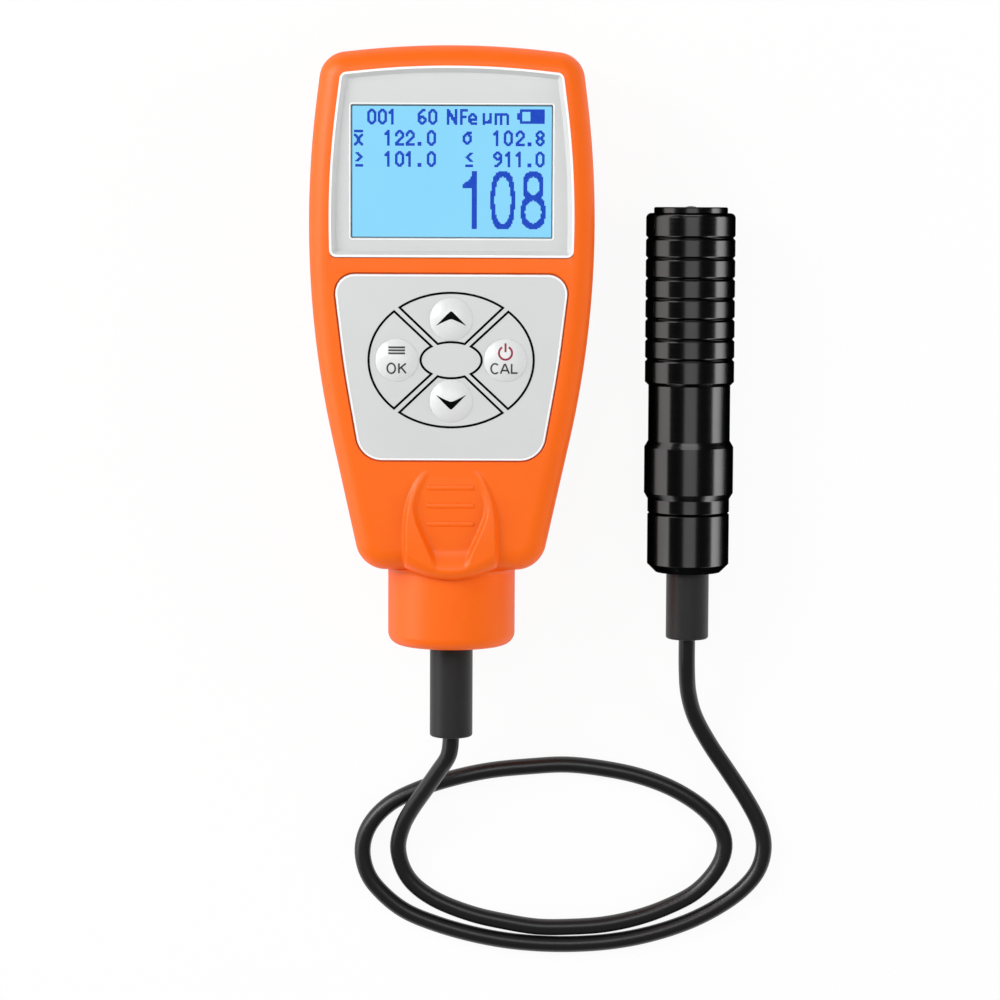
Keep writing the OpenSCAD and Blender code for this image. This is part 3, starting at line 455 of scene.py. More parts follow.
# %% Outline of the keypad and places of the keys
keypad_low, keypad_high = box_mm("keypad_panel")
KEYPAD_TOP_W, KEYPAD_FOOT_W, KEYPAD_BULGE = 44.4, 34.0, 0.5
KEYPAD_TOP_R, KEYPAD_FOOT_R = 3.8, 5.0
KEY_D, KEY_DX, KEY_DY, KEYS_DROP = 8.0, 10.1, 7.6, 16.1
keypad_corners = both_sides(
    [
        (-KEYPAD_TOP_W / 2, keypad_high[1], KEYPAD_TOP_R),
        (
            -(KEYPAD_TOP_W + KEYPAD_FOOT_W) / 4 - KEYPAD_BULGE,
            (keypad_high[1] + keypad_low[1]) / 2,
            SIDE_R,
        ),
        (-KEYPAD_FOOT_W / 2, keypad_low[1], KEYPAD_FOOT_R),
    ]
)
keys_y = keypad_high[1] - KEYS_DROP
key_places = {
    "up": (0.0, keys_y + KEY_DY),
    "down": (0.0, keys_y - KEY_DY),
    "menu": (-KEY_DX, keys_y),
    "power": (KEY_DX, keys_y),
}


def keypad_outline(d):
    """The keypad panel's outline, d inside its edge."""
    return rounded(inset(keypad_corners, d))


print("keypad half width:", keypad_outline(0)[:, 0].max(), "of", keypad_high[0])

# %% [markdown]
# The covers are injection-moulded ABS. The mould is spark-eroded, which leaves a fine even grain, so the
# orange is satin: it keeps its colour in the light and shows only a broad soft sheen. Seen at a slant, the
# grain throws the light back in the plastic's own colour, so the edges turn a deeper orange.

# %% Finish of the covers
orange_abs = finish(
    "orange ABS, spark-eroded moulding",
    ("#fd6d0e", "#fa680a"),
    9.0,
    (0.34, 0.44),
    0.35,
    0.010,
    IOR=1.53,
    Specular_IOR_Level=0.35,
    Sheen_Weight=0.8,
    Sheen_Roughness=0.5,
    Sheen_Tint=hex_linear("#ff560c"),
)
print("finish:", orange_abs.name)

# %% [markdown]
# The thumb grip is the case's own touch: two raised flanks that part and rise towards the collar, a hollow
# for the thumb between them. It could be sculpted, but its height over the face is a formula of the place
# across and the share t of its length, as in the solid, so it is sampled on a fine grid and closed below.

# %% The thumb grip
GRIP_TOP_Y, GRIP_LEN, GRIP_ARCH, GRIP_ROLL = keypad_low[1] - 1.5, 20.8, 1.8, 2.4
GRIP_NECK, GRIP_FOOT, GRIP_H = 4.4, 8.1, 1.3
GRIP_SKIRT, GRIP_ROOT = 1.1, 4.3
HOLLOW_FOOT, HOLLOW_FLOOR, HOLLOW_TURN, HOLLOW_BLEND = 3.4, 0.1, 0.36, 1.2
FLANK_START, FLANK_GROWTH, FLANK_CROWN, SUNK = 0.05, 0.6, 0.2, 0.04
# Shares of the grip's length at which it is fully wide and high, and at which the hollow starts and ends
FULL_AT, RISE_AT, EASE_IN, HOLLOW_END, BED_START, BED_LEN = 0.75, 0.2, 0.05, 0.95, 0.72, 0.22
# The lip's radius grows by this share at the sides, and its rows start where the even ones end
LIP_GROWTH, LIP_SHARE, UPPER_SHARE = 0.6, 0.19, 0.8
UPPER_ROWS, LIP_ROWS, ACROSS_POINTS, SKIRT_POINTS = 76, 36, 161, 15


def smooth(v):
    """An S curve from 0 to 1."""
    c = np.clip(v, 0, 1)
    return c * c * (3 - 2 * c)


def grip_edge(t):
    """Half width of the grip: from its neck it widens fast, then ever slower, to its foot."""
    return GRIP_NECK + (GRIP_FOOT - GRIP_NECK) * (1 - (1 - np.minimum(1, t / FULL_AT)) ** 3)


def hollow_edge(t):
    """Half width of the hollow: the flanks grow steadily at first, then close in on the middle."""
    upper = np.minimum(t, HOLLOW_TURN)
    upper = grip_edge(upper) - FLANK_START - FLANK_GROWTH * upper
    return upper + (HOLLOW_FOOT - upper) * smooth((t - HOLLOW_TURN) / (HOLLOW_END - HOLLOW_TURN))


def lip_drop(x, t):
    """Drop of the lower end: a quarter circle whose radius grows from the middle to the sides."""
    roll = GRIP_ROLL * (1 + LIP_GROWTH * (x / grip_edge(t)) ** 2)
    return roll * (1 - np.sqrt(1 - np.clip(1 - (1 - t) * GRIP_LEN / roll, 0, 1) ** 2))


def grip_height(x, t):
    """Height over the face: flanks crowned across and rising along t, a hollow between, and a rounded end."""
    rise = smooth(t / RISE_AT)
    crown = 1 + FLANK_CROWN - FLANK_CROWN * (x / grip_edge(t)) ** 2
    flank = GRIP_H * np.sin(np.pi / 2 * np.minimum(1, t / FULL_AT)) * crown
    floor = HOLLOW_FLOOR * rise - SUNK * (1 - rise)
    bed = floor + (flank - floor) * smooth((t - BED_START) / BED_LEN)
    share = smooth((np.abs(x) - hollow_edge(t) + HOLLOW_BLEND) / HOLLOW_BLEND)
    return bed + (flank - bed) * share - SUNK * (1 - smooth(t / EASE_IN)) - lip_drop(x, t)


def grip_rows():
    """Cross-sections down the grip: the formula across, an S-shaped skirt, and a wall down to the root."""
    roll_out = 1 - LIP_SHARE * (1 - np.sin(np.linspace(0, np.pi / 2, LIP_ROWS)))
    t = np.concatenate([np.linspace(0, UPPER_SHARE, UPPER_ROWS), roll_out])[:, None]
    edge = grip_edge(t)
    skirt = np.linspace(0, 1, SKIRT_POINTS)[1:]
    x = edge * np.linspace(-1, 1, ACROSS_POINTS)
    side_x = edge + GRIP_SKIRT * skirt
    fall = smooth(skirt)
    side_z = (grip_height(edge, t) + SUNK) * (1 - fall) - SUNK - lip_drop(edge, t) * fall
    root_x = side_x[:, -1:]
    root_z = np.full_like(root_x, -GRIP_ROOT)
    across = np.hstack([-root_x, -side_x[:, ::-1], x, side_x, root_x])
    height = np.hstack([root_z, side_z[:, ::-1], grip_height(x, t), side_z, root_z])
    down = GRIP_TOP_Y - t * (GRIP_LEN - GRIP_ARCH * (across / edge) ** 2)
    return np.stack([across, down, FACE_Z + height], -1)


def end_wall(section):
    """The upright wall under an end section, and the flat root under its curve."""
    root = section * (1, 1, 0) + (0, 0, FACE_Z - GRIP_ROOT)
    return [grid(np.stack([section, root]), closed=False), cap(root)]


grip_sections = grip_rows()
grip_surfaces = [grid(grip_sections), cap(grip_sections[0]), *end_wall(grip_sections[-1])]
print("top of the grip:", grip_sections[..., 2].max())

# %% [markdown]
# Three low ribs in the hollow keep the thumb from slipping. Each is a bar with round ends. Blender could
# bevel a box, but a flattened ball whose two halves are moved apart is round all over in one formula.

# %% The ribs of the grip
RIB_PITCH, RIB_LEN, RIB_W, RIB_H, RIB_COUNT = 3.4, 8.9, 0.95, 0.2, 3
RIB_HALF, RIB_ROUND = 8, 32


def rib(i):
    """A raised rib: a ball, flattened to the rib's height, whose left and right halves are moved apart."""
    down = np.linspace(0, np.pi, 2 * RIB_HALF + 1)
    round_about = np.linspace(0, 2 * np.pi, RIB_ROUND + 1)[:-1]
    lat, lon = np.meshgrid(down, round_about, indexing="ij")
    ball = np.stack([np.cos(lat), np.sin(lat) * np.cos(lon), np.sin(lat) * np.sin(lon)], -1)
    ball = ball * (RIB_W / 2, RIB_W / 2, RIB_H)
    apart = np.array([(RIB_LEN - RIB_W) / 2, 0, 0])
    bar = np.concatenate([ball[: RIB_HALF + 1] + apart, ball[RIB_HALF:] - apart])
    return grid(bar + (0, GRIP_TOP_Y - RIB_PITCH * (i + 1), FACE_Z + HOLLOW_FLOOR))


grip_surfaces += [rib(i) for i in range(RIB_COUNT)]
print("ribs:", RIB_COUNT)

# %% [markdown]
# The collar holds the lead's relief. It is half on each cover: a profile with a fillet at the case and a
# round end, turned through half a circle and closed at the joint.

# %% The collar
COLLAR_R, COLLAR_BORE, COLLAR_WALL, COLLAR_EDGE_R, NECK_HOLE = 12.1, 9.9, 2.2, 2.4, 3.2
COLLAR_FILLET, FILLET_LAP, COLLAR_ROOT, NECK_EDGE_R = 1.2, 0.1, 2.6, 0.2
collar_profile = rounded(
    [
        (COLLAR_R, FOOT_Y + COLLAR_ROOT, SHARP),
        (COLLAR_R + COLLAR_FILLET + FILLET_LAP, FOOT_Y, SHARP),
        (COLLAR_R, FOOT_Y, COLLAR_FILLET),
        (COLLAR_R, END_Y, COLLAR_EDGE_R),
        (NECK_HOLE, END_Y, NECK_EDGE_R),
        (NECK_HOLE, END_Y + COLLAR_WALL, SHARP),
        (COLLAR_BORE, END_Y + COLLAR_WALL, SHARP),
        (COLLAR_BORE, FOOT_Y + COLLAR_ROOT, SHARP),
    ],
    steps=12,
)


def half_collar(first):
    """Half of the collar from the angle first on, with its two faces at the joint."""
    sides = [collar_profile * (sign, 1) for sign in (1, -1)]
    ring = np.concatenate([collar_profile, collar_profile[:1]])
    shell = turned(ring, (0, 0, SPLIT_Z), sweep=(first, first + np.pi), steps=96)
    return [shell] + [plate(SPLIT_Z, side) for side in sides]


print("points of the collar's profile:", len(collar_profile))

# %% [markdown]
# The front cover is one shell: the outer wall with its rounded edge, the face with openings for the bezel and
# the keypad, the ledge under the bezel, the wells under the keys, and the hollow inside. Four posts take
# the case screws. The edges of the openings get a small round, as moulded edges have.

# %% Walls, wells and posts of the front cover
FACE_EDGE_R, BACK_EDGE_R, JOINT_CHAMFER, WALL = 4.0, 3.0, 0.25, 2.0
DRAFT_LEAN = (SPLIT_Z - FACE_EDGE_R) * math.tan(math.radians(1.5))
SEAT, OPENING_ROUND = 0.1, 0.12
LEDGE_W, LEDGE_T, ROOF_LEAN, ROOF_DROP = 0.8, 1.2, 0.5, 2.8
FLANGE_R, WELL_PLAY = KEY_D / 2 + 0.8, 0.3
KEY_WELL_R = FLANGE_R + WELL_PLAY
INNER_LEAN = DRAFT_LEAN + WALL
ledge_z = bezel_low[2] - LEDGE_T
POST_R, POST_HOLE_R, POST_FOOT_Z, POST_HOLE_LEN = 2.8, 1.3, 8.0, 9.0
POST_RISE, POST_PLAY = 9.3, 0.3
post_y = np.array([TOP_Y - BEZEL_INSET - POST_R, FOOT_Y + POST_RISE])
post_x = bulge_x + np.sqrt(SIDE_R**2 - (post_y - bulge_y) ** 2) - INNER_LEAN - POST_R - POST_PLAY
posts = [(sign * x, y) for x, y in zip(post_x, post_y) for sign in (-1, 1)]

quarter = np.linspace(0, np.pi / 2, 13)
face_edge = np.column_stack(
    [
        FACE_Z - FACE_EDGE_R * (1 - np.sin(quarter)),
        DRAFT_LEAN + FACE_EDGE_R * (1 - np.cos(quarter)),
    ]
)
opening_edge = np.column_stack(
    [
        FACE_Z - OPENING_ROUND * (1 - np.cos(quarter[::3])),
        -SEAT - OPENING_ROUND * (1 - np.sin(quarter[::3])),
    ]
)
well_rings = [circle(place, KEY_WELL_R) for place in key_places.values()]


def post(place):
    """A screw post with a blind hole, turned round an upright axis."""
    hole_end = POST_FOOT_Z + POST_HOLE_LEN
    profile = [
        (0, hole_end),
        (POST_HOLE_R, hole_end),
        (POST_HOLE_R, POST_FOOT_Z),
        (POST_R, POST_FOOT_Z),
        (POST_R, ledge_z),
        (0, ledge_z),
    ]
    return turned(profile, (*place, 0), axis=2, steps=48)


print("screw posts at:", np.round(posts, 2).tolist())

# %% The front cover
front_surfaces = [
    loft(case_outline, [(SPLIT_Z, JOINT_CHAMFER), (SPLIT_Z + JOINT_CHAMFER, 0), *face_edge]),
    plate(
        FACE_Z,
        case_outline(DRAFT_LEAN + FACE_EDGE_R),
        bezel_outline(-SEAT - OPENING_ROUND),
        keypad_outline(-SEAT - OPENING_ROUND),
    ),
    loft(
        bezel_outline,
        [*opening_edge, (bezel_low[2], -SEAT), (bezel_low[2], LEDGE_W), (ledge_z, LEDGE_W)],
    ),
    loft(keypad_outline, [*opening_edge, (keypad_low[2], -SEAT)]),
    plate(keypad_low[2], keypad_outline(-SEAT), *well_rings),
    *[grid(np.stack([lift(ring, keypad_low[2]), lift(ring, ledge_z)])) for ring in well_rings],
    plate(ledge_z, case_outline(BEZEL_INSET + ROOF_LEAN), bezel_outline(LEDGE_W), *well_rings),
    loft(
        case_outline,
        [
            (ledge_z, BEZEL_INSET + ROOF_LEAN),
            (ledge_z - ROOF_DROP, INNER_LEAN),
            (SPLIT_Z, WALL),
            (SPLIT_Z, JOINT_CHAMFER),
        ],
    ),
]
make_piece(
    "front_cover_moulding",
    front_surfaces + grip_surfaces + half_collar(0) + [post(place) for place in posts],
    orange_abs,
    "case",
    ["front_cover"],
)

# %% [markdown]
# The rear cover is the other half. Its back has the recess of the battery cover with a thumb notch below it,
# the battery box, and four wells for the case screws. The notch is part of a ball cut into the flat back.

# %% The recess of the battery cover
door_low, door_high = box_mm("battery_cover")
DOOR_GAP, DOOR_LAP, DOOR_CORNER_R, DOOR_PLAY, PIVOT_OUT = 0.25, 1.2, 1.5, 0.15, 1.0
DOOR_T = door_high[2] - door_low[2]
BOX_WALL, BOX_ROOF_Z, BOX_TOP_Z, BOX_IN_R, BOX_OUT_R = 2.0, 13.0, 14.4, 0.3, 0.5
NOTCH_R, NOTCH_H, NOTCH_POINTS, RECESS_CORNER_R = 4.5, 1.1, 33, 0.05
WELL_R, WELL_H, SCREW_HOLE_R = 2.4, 6.0, 1.5
seat_z = door_high[2] + DOOR_PLAY
door_x = door_high[0] - PIVOT_OUT
door_foot_y, door_top_y = door_low[1], door_high[1]
box_x = door_x - DOOR_LAP
box_y = (door_foot_y + DOOR_LAP, door_top_y - DOOR_LAP)
recess_x, recess_foot_y = door_x + DOOR_GAP, door_foot_y - DOOR_GAP
notch_ball_r = (NOTCH_R**2 + NOTCH_H**2) / (2 * NOTCH_H)


def rectangle(x, y0, y1, r):
    """A rectangle from -x to x and y0 to y1 with round corners."""
    return rounded([(-x, y0, r), (x, y0, r), (x, y1, r), (-x, y1, r)], steps=8)


def notch_depth(radius):
    """Depth of the ball-shaped notch at a distance from its middle."""
    return np.sqrt(notch_ball_r**2 - radius**2) - notch_ball_r + NOTCH_H


recess = rounded(
    [
        (-recess_x, door_top_y + DOOR_GAP, RECESS_CORNER_R),
        (-recess_x, recess_foot_y, DOOR_CORNER_R + DOOR_GAP),
        (recess_x, recess_foot_y, DOOR_CORNER_R + DOOR_GAP),
        (recess_x, door_top_y + DOOR_GAP, RECESS_CORNER_R),
    ],
    steps=8,
)
half_count = len(recess) // 2
stretch_x = np.linspace(-NOTCH_R, NOTCH_R, NOTCH_POINTS)
stretch = np.column_stack([stretch_x, np.full_like(stretch_x, recess_foot_y)])
turn = np.linspace(np.pi, 2 * np.pi, NOTCH_POINTS)
bow = np.column_stack([NOTCH_R * np.cos(turn), recess_foot_y + NOTCH_R * np.sin(turn)])
back_opening = np.concatenate([recess[:half_count], bow, recess[half_count:]])
recess_ring = np.concatenate([recess[:half_count], stretch, recess[half_count:]])
rim_z = np.concatenate([np.zeros(half_count), notch_depth(stretch_x), np.zeros(half_count)])
radii = np.linspace(0, NOTCH_R, 17)[:, None]
notch = np.stack(
    [radii * np.cos(turn), recess_foot_y + radii * np.sin(turn), notch_depth(radii + 0 * turn)], -1
)
print("radius of the notch's ball:", round(notch_ball_r, 2))

# %% The rear cover
box_ring = rectangle(box_x, *box_y, BOX_IN_R)
box_outside = rectangle(box_x + BOX_WALL, box_y[0] - BOX_WALL, box_y[1] + BOX_WALL, BOX_OUT_R)
wells = [circle(place, WELL_R, 64) for place in posts]
screw_holes = [circle(place, SCREW_HOLE_R, 64) for place in posts]


def between(ring, *heights):
    """An upright wall through a ring at each height."""
    return grid(np.stack([lift(ring, z) for z in heights]))


back_edge = np.column_stack(
    [
        BACK_EDGE_R * (1 - np.cos(quarter)),
        DRAFT_LEAN + BACK_EDGE_R * (1 - np.sin(quarter)),
    ]
)
rear_surfaces = [
    loft(case_outline, [*back_edge, (SPLIT_Z - JOINT_CHAMFER, 0), (SPLIT_Z, JOINT_CHAMFER), (SPLIT_Z, WALL)]),
    plate(0.0, case_outline(DRAFT_LEAN + BACK_EDGE_R), back_opening, *wells),
    grid(notch, closed=False),
    grid(np.stack([lift(recess_ring, rim_z), lift(recess_ring, seat_z)])),
    plate(seat_z, recess_ring, box_ring),
    between(box_ring, seat_z, BOX_ROOF_Z),
    plate(BOX_ROOF_Z, box_ring),
    *[between(ring, 0, WELL_H) for ring in wells],
    *[plate(WELL_H, ring, hole) for ring, hole in zip(wells, screw_holes)],
    *[between(hole, WELL_H, POST_FOOT_Z) for hole in screw_holes],
    plate(POST_FOOT_Z, case_outline(INNER_LEAN), box_outside, *screw_holes),
    between(box_outside, POST_FOOT_Z, BOX_TOP_Z),
    plate(BOX_TOP_Z, box_outside),
    loft(case_outline, [(POST_FOOT_Z, INNER_LEAN), (SPLIT_Z, WALL)]),
]
make_piece(
    "rear_cover_moulding",
    rear_surfaces + half_collar(np.pi),
    orange_abs,
    "case",
    ["rear_cover"],
)

# %% [markdown]
# The battery cover is a thin moulded plate. Its upper end is round and turns on two pivots, a tongue between
# two slits springs at its lower end, and four grooves give the finger a hold. All its edges are eased.

# %% The battery cover
TONGUE_X, TONGUE_LEN, TONGUE_R, SLIT, SLIT_R = 4.0, 5.0, 0.25, 0.8, 0.1
GROOVE_HALF, GROOVE_W, GROOVE_H, GROOVE_R, GROOVE_PITCH, GROOVE_COUNT = 6.0, 0.8, 0.4, 0.35, 1.8, 4
EDGE_EASE, PIVOT_R = 0.2, 0.5
pivot_y, pivot_z = door_top_y - DOOR_T / 2, door_low[2] + DOOR_T / 2
slit_in, slit_out, slit_end = TONGUE_X - SLIT / 2, TONGUE_X + SLIT / 2, door_foot_y + TONGUE_LEN
door_corners = both_sides(
    [
        (-door_x, pivot_y, SHARP),
        (-door_x, door_foot_y, DOOR_CORNER_R),
        (-slit_out, door_foot_y, TONGUE_R),
        (-slit_out, slit_end, SLIT_R),
        (-slit_in, slit_end, SLIT_R),
        (-slit_in, door_foot_y, TONGUE_R),
    ]
)


def door_outline(d):
    """The battery cover's outline, d inside its edge."""
    return rounded(inset(door_corners, d), steps=8)


def groove_ring(i):
    """Outline of one finger groove, with round ends."""
    y = door_foot_y + TONGUE_LEN + GROOVE_PITCH * (i + 1)
    return rectangle(GROOVE_HALF, y, y + GROOVE_W, GROOVE_R)


ease = np.column_stack([EDGE_EASE * (1 - np.sin(quarter[::3])), EDGE_EASE * (1 - np.cos(quarter[::3]))])
door_levels = [
    *(ease[::-1] + (door_low[2], 0)),
    *((door_high[2], 0) - ease * (1, -1)),
]
grooves = [groove_ring(i) for i in range(GROOVE_COUNT)]
groove_z = door_low[2] + GROOVE_H
pivot_profile = [
    (0, -door_high[0]),
    (PIVOT_R, -door_high[0]),
    (PIVOT_R, -door_x),
    (DOOR_T / 2, -door_x),
    (DOOR_T / 2, door_x),
    (PIVOT_R, door_x),
    (PIVOT_R, door_high[0]),
    (0, door_high[0]),
]
make_piece(
    "battery_cover_moulding",
    [
        loft(door_outline, door_levels),
        plate(door_low[2], door_outline(EDGE_EASE), *grooves),
        plate(door_high[2], door_outline(EDGE_EASE)),
        *[between(ring, door_low[2], groove_z) for ring in grooves],
        *[plate(groove_z, ring) for ring in grooves],
        turned(pivot_profile, (0, pivot_y, pivot_z), axis=0, steps=64),
    ],
    orange_abs,
    "battery_door",
    ["battery_cover"],
)

# %% [markdown]
# The bezel is a shallow tray painted silver. A narrow lip runs level with the face, the walls slope down to a
# flat floor, and the display shows through an opening in that floor. It is one loft and two plates.

# %% Finish of the bezel and the keypad
# Silver lacquer over ABS: a pale grey with very fine metal flakes, dull enough to show no sharp mirror image
silver_lacquer = finish(
    "silver-lacquered ABS",
    ("#d8d9d9", "#d0d1d1"),
    14.0,
    (0.34, 0.50),
    0.25,
    0.006,
    IOR=1.5,
    Specular_IOR_Level=0.5,
)
# The keys wear the same lacquer under a clear coat, so each dome shows a soft bright spot and a darker rim;
# their
# # colour is also painted lighter than the panel's, as painted light on the domes
key_lacquer_painted_lighter = finish(
    "silver-lacquered ABS, clear-coated, painted lighter", ("#e6e7e7", "#dedfdf"), 6.0, (0.24, 0.32), 0.25, 0.003, IOR=1.5
)
print("finishes:", silver_lacquer.name, "and", key_lacquer_painted_lighter.name)

# %% The bezel
BEZEL_LIP, BEZEL_SLOPE, BEZEL_FLOOR, BEZEL_ROUND, VIEW_EASE = 0.55, 0.7, 1.0, 0.15, 0.1
VIEW_CORNER_R, WINDOW_LAP = 0.25, 1.0
# The eased corner at the lip starts so far before it and ends so far below; likewise where the floor begins
LIP_BACK, LIP_DOWN, FLOOR_BACK, FLOOR_UP, FLOOR_ON = 0.06, 0.03, 0.03, 0.04, 0.05
window_low, window_high = box_mm("display_window")
view_x = window_high[0] - WINDOW_LAP
view_y = (window_low[1] + WINDOW_LAP, window_high[1] - WINDOW_LAP)
floor_z = FACE_Z - BEZEL_FLOOR
slope_end = BEZEL_LIP + BEZEL_SLOPE
lip_round = np.column_stack([-(1 - np.sin(quarter[::3])), 1 - np.cos(quarter[::3])]) * BEZEL_ROUND
view_ring = rectangle(view_x, *view_y, VIEW_CORNER_R)
view_ring_wide = rectangle(
    view_x + VIEW_EASE, view_y[0] - VIEW_EASE, view_y[1] + VIEW_EASE, VIEW_CORNER_R + VIEW_EASE
)
make_piece(
    "display_bezel_tray",
    [
        loft(
            bezel_outline,
            [
                (bezel_low[2], 0),
                *(lip_round + (FACE_Z, 0)),
                (FACE_Z, BEZEL_LIP - LIP_BACK),
                (FACE_Z - LIP_DOWN, BEZEL_LIP),
                (floor_z + FLOOR_UP, slope_end - FLOOR_BACK),
                (floor_z, slope_end + FLOOR_ON),
            ],
        ),
        plate(floor_z, bezel_outline(slope_end + FLOOR_ON), view_ring_wide),
        grid(
            np.stack(
                [
                    lift(view_ring_wide, floor_z),
                    lift(view_ring, floor_z - VIEW_EASE),
                    lift(view_ring, bezel_low[2]),
                ]
            )
        ),
        plate(bezel_low[2], bezel_outline(0), view_ring),
    ],
    silver_lacquer,
    "case",
    ["display_bezel"],
)

# %% [markdown]
# The display is a lit dot-matrix LCD. Its glass glows pale blue from the backlight behind it, so its finish
# gives off light at the level of its own colour. Where a dot is switched on, a small dark blue square
# shows. The readout is numbers, units and common symbols, drawn as pen strokes on a grid of dots.

# %% Finish of the display


def glowing(name, colours, drift_mm, strength):
    """A backlit surface: its light drifts between two hex colours over drift_mm, over a dark glass base."""
    material = finish(name, colours, drift_mm, (0.18, 0.24), 0.4, 0.002, Specular_IOR_Level=0.02)
    shader = material.node_tree.nodes["Principled BSDF"]
    tint = shader.inputs["Base Color"].links[0]
    material.node_tree.links.new(tint.from_socket, shader.inputs["Emission Color"])
    material.node_tree.links.remove(tint)
    shader.inputs["Base Color"].default_value = hex_linear("#050608")
    shader.inputs["Emission Strength"].default_value = strength
    return material


lit_glass = glowing("LCD glass, backlit blue", ("#92deff", "#8ad9fd"), 18.0, 1.06)
lit_dots = glowing("LCD dots, switched on", ("#0048cc", "#003cc2"), 9.0, 1.0)
# A thin dull blue-grey line at the edge of the lit field is painted shade: it stands for the shadow that the
# rim of the bezel's opening casts on the glass
painted_edge_shade = finish("LCD edge, painted shade", ("#7ea2b4", "#7397a9"), 4.0, (0.3, 0.4), 0.4, 0.003)
print("finishes:", lit_glass.name, "and", lit_dots.name)

# %% Glyphs and pens of the readout
DOT_COLS, DOT_ROWS = 152, 101
GLYPHS = {
    "0": ["20 30 52 58 3A 2A 08 02 20"],
    "1": ["02 12 20 2A"],
    "2": ["03 02 20 30 52 54 09 0A 5A"],
    "6": ["40 30 12 03 08 2A 3A 58 57 35 25 07"],
    "8": ["20 30 52 53 35 25 03 02 20", "25 35 57 58 3A 2A 08 07 25"],
    "9": ["1A 2A 48 57 52 30 20 02 03 25 35 53"],
    ".": ["19 29 2A 1A"],
    "N": ["0A 00 6A 60"],
    "F": ["0A 00 40", "05 35"],
    "e": ["07 57 55 33 23 05 08 2A 5A"],
    "micro": ["03 0A", "09 29 58", "53 59"],
    "m": ["0A 03 33 44 4A", "44 53 83 94 9A"],
    "spread": ["51 31 22 04 07 29 39 57 54 32"],
    "mean": ["00 50", "01 51", "03 5B", "53 0B"],
    "most": ["01 44 07", "0A 4A", "0B 4B"],
    "least": ["41 04 47", "0A 4A", "0B 4B"],
}
THIN, SMALL_PEN, THIN_PEN = ("mean", "most", "least"), (2, 2), (2, 1)
PEN_STEPS, OVAL_POWER = 60, 0.8
screen = np.zeros((DOT_ROWS, DOT_COLS), bool)


def draw(path, col, row, pen):
    """Switch on every dot under a pen, so many dots wide and high, that follows (column, row) points."""
    path = np.array(path, float)
    share = np.linspace(0, 1, PEN_STEPS)[:, None, None]
    line = (path[:-1] + (path[1:] - path[:-1]) * share).reshape(-1, 2).round().astype(int)
    brush = np.stack(np.meshgrid(np.arange(pen[0]), np.arange(pen[1])), -1).reshape(-1, 2)
    dots = (line[:, None] + brush + (col, row)).reshape(-1, 2)
    screen[dots[:, 1], dots[:, 0]] = True


def small(name, col, row):
    """Draw a small glyph; each of its points is a column and a row, each one hex digit."""
    pen = THIN_PEN if name in THIN else SMALL_PEN
    for stroke in GLYPHS[name]:
        draw([(int(point[0], 16), int(point[1], 16)) for point in stroke.split()], col, row, pen)


def oval(half_w, half_h, col, row):
    """Points of a tall oval with full shoulders: cosine and sine are each raised to a power below one."""
    turn = np.linspace(0, 2 * np.pi, 49)
    bend = np.column_stack([np.cos(turn), np.sin(turn)])
    return np.sign(bend) * np.abs(bend) ** OVAL_POWER * (half_w, half_h) + (col, row)


print("glyphs:", len(GLYPHS))

# %% The readout
# The row of each line's top, and its glyphs with the column where each starts
LINES = [
    (3, [("0", 12), ("0", 20), ("1", 28), ("6", 50), ("0", 58), ("N", 72), ("F", 82), ("e", 88)]),
    (3, [("micro", 99), ("m", 108)]),
    (19, [("mean", 2), ("1", 25), ("2", 33), ("2", 41), (".", 49), ("0", 57)]),
    (19, [("spread", 84), ("1", 107), ("0", 115), ("2", 124), (".", 132), ("8", 139)]),
    (35, [("most", 3), ("1", 25), ("0", 33), ("1", 41), (".", 49), ("0", 57)]),
    (35, [("least", 86), ("9", 107), ("1", 116), ("1", 124), (".", 132), ("0", 139)]),
]
for line_row, glyphs in LINES:
    for glyph, glyph_col in glyphs:
        small(glyph, glyph_col, line_row)
# The battery sign is a full block with a window in it and a knob on its left
screen[3:14, 127:146] = True
screen[5:12, 129:135] = False
screen[6:11, 125:127] = True
# Strokes of the large number, each with the pen that draws it
BIG_STROKES = [
    ([(84, 60), (90, 60)], (3, 3)),
    ([(84, 60), (87, 58), (90, 55), (92, 50)], (3, 3)),
    ([(91, 50), (91, 93)], (4, 1)),
    (oval(7.6, 20, 113, 70.2), (3, 4)),
    (oval(6.4, 9, 136, 59.2), (3, 4)),
    (oval(7.6, 10.7, 136, 79), (3, 4)),
]
for stroke, pen in BIG_STROKES:
    draw(stroke, 0, 0, pen)
print("dots switched on:", int(screen.sum()))

# %% The display
DOT_FILL, DOT_RISE, GLASS_DROP, GLASS_CORNER_R = 0.985, 0.03, 0.12, 0.4
lcd_low, lcd_high = box_mm("lcd_panel")
pitch = np.array([2 * view_x / DOT_COLS, (view_y[1] - view_y[0]) / DOT_ROWS])
glass_z = lcd_high[2] - GLASS_DROP
lcd_ring = rectangle(lcd_high[0], lcd_low[1], lcd_high[1], GLASS_CORNER_R)
make_piece(
    "lcd_glass",
    [
        between(lcd_ring, lcd_low[2], glass_z),
        plate(lcd_low[2], lcd_ring),
        plate(glass_z, lcd_ring),
    ],
    lit_glass,
    "case",
    ["lcd_panel"],
)


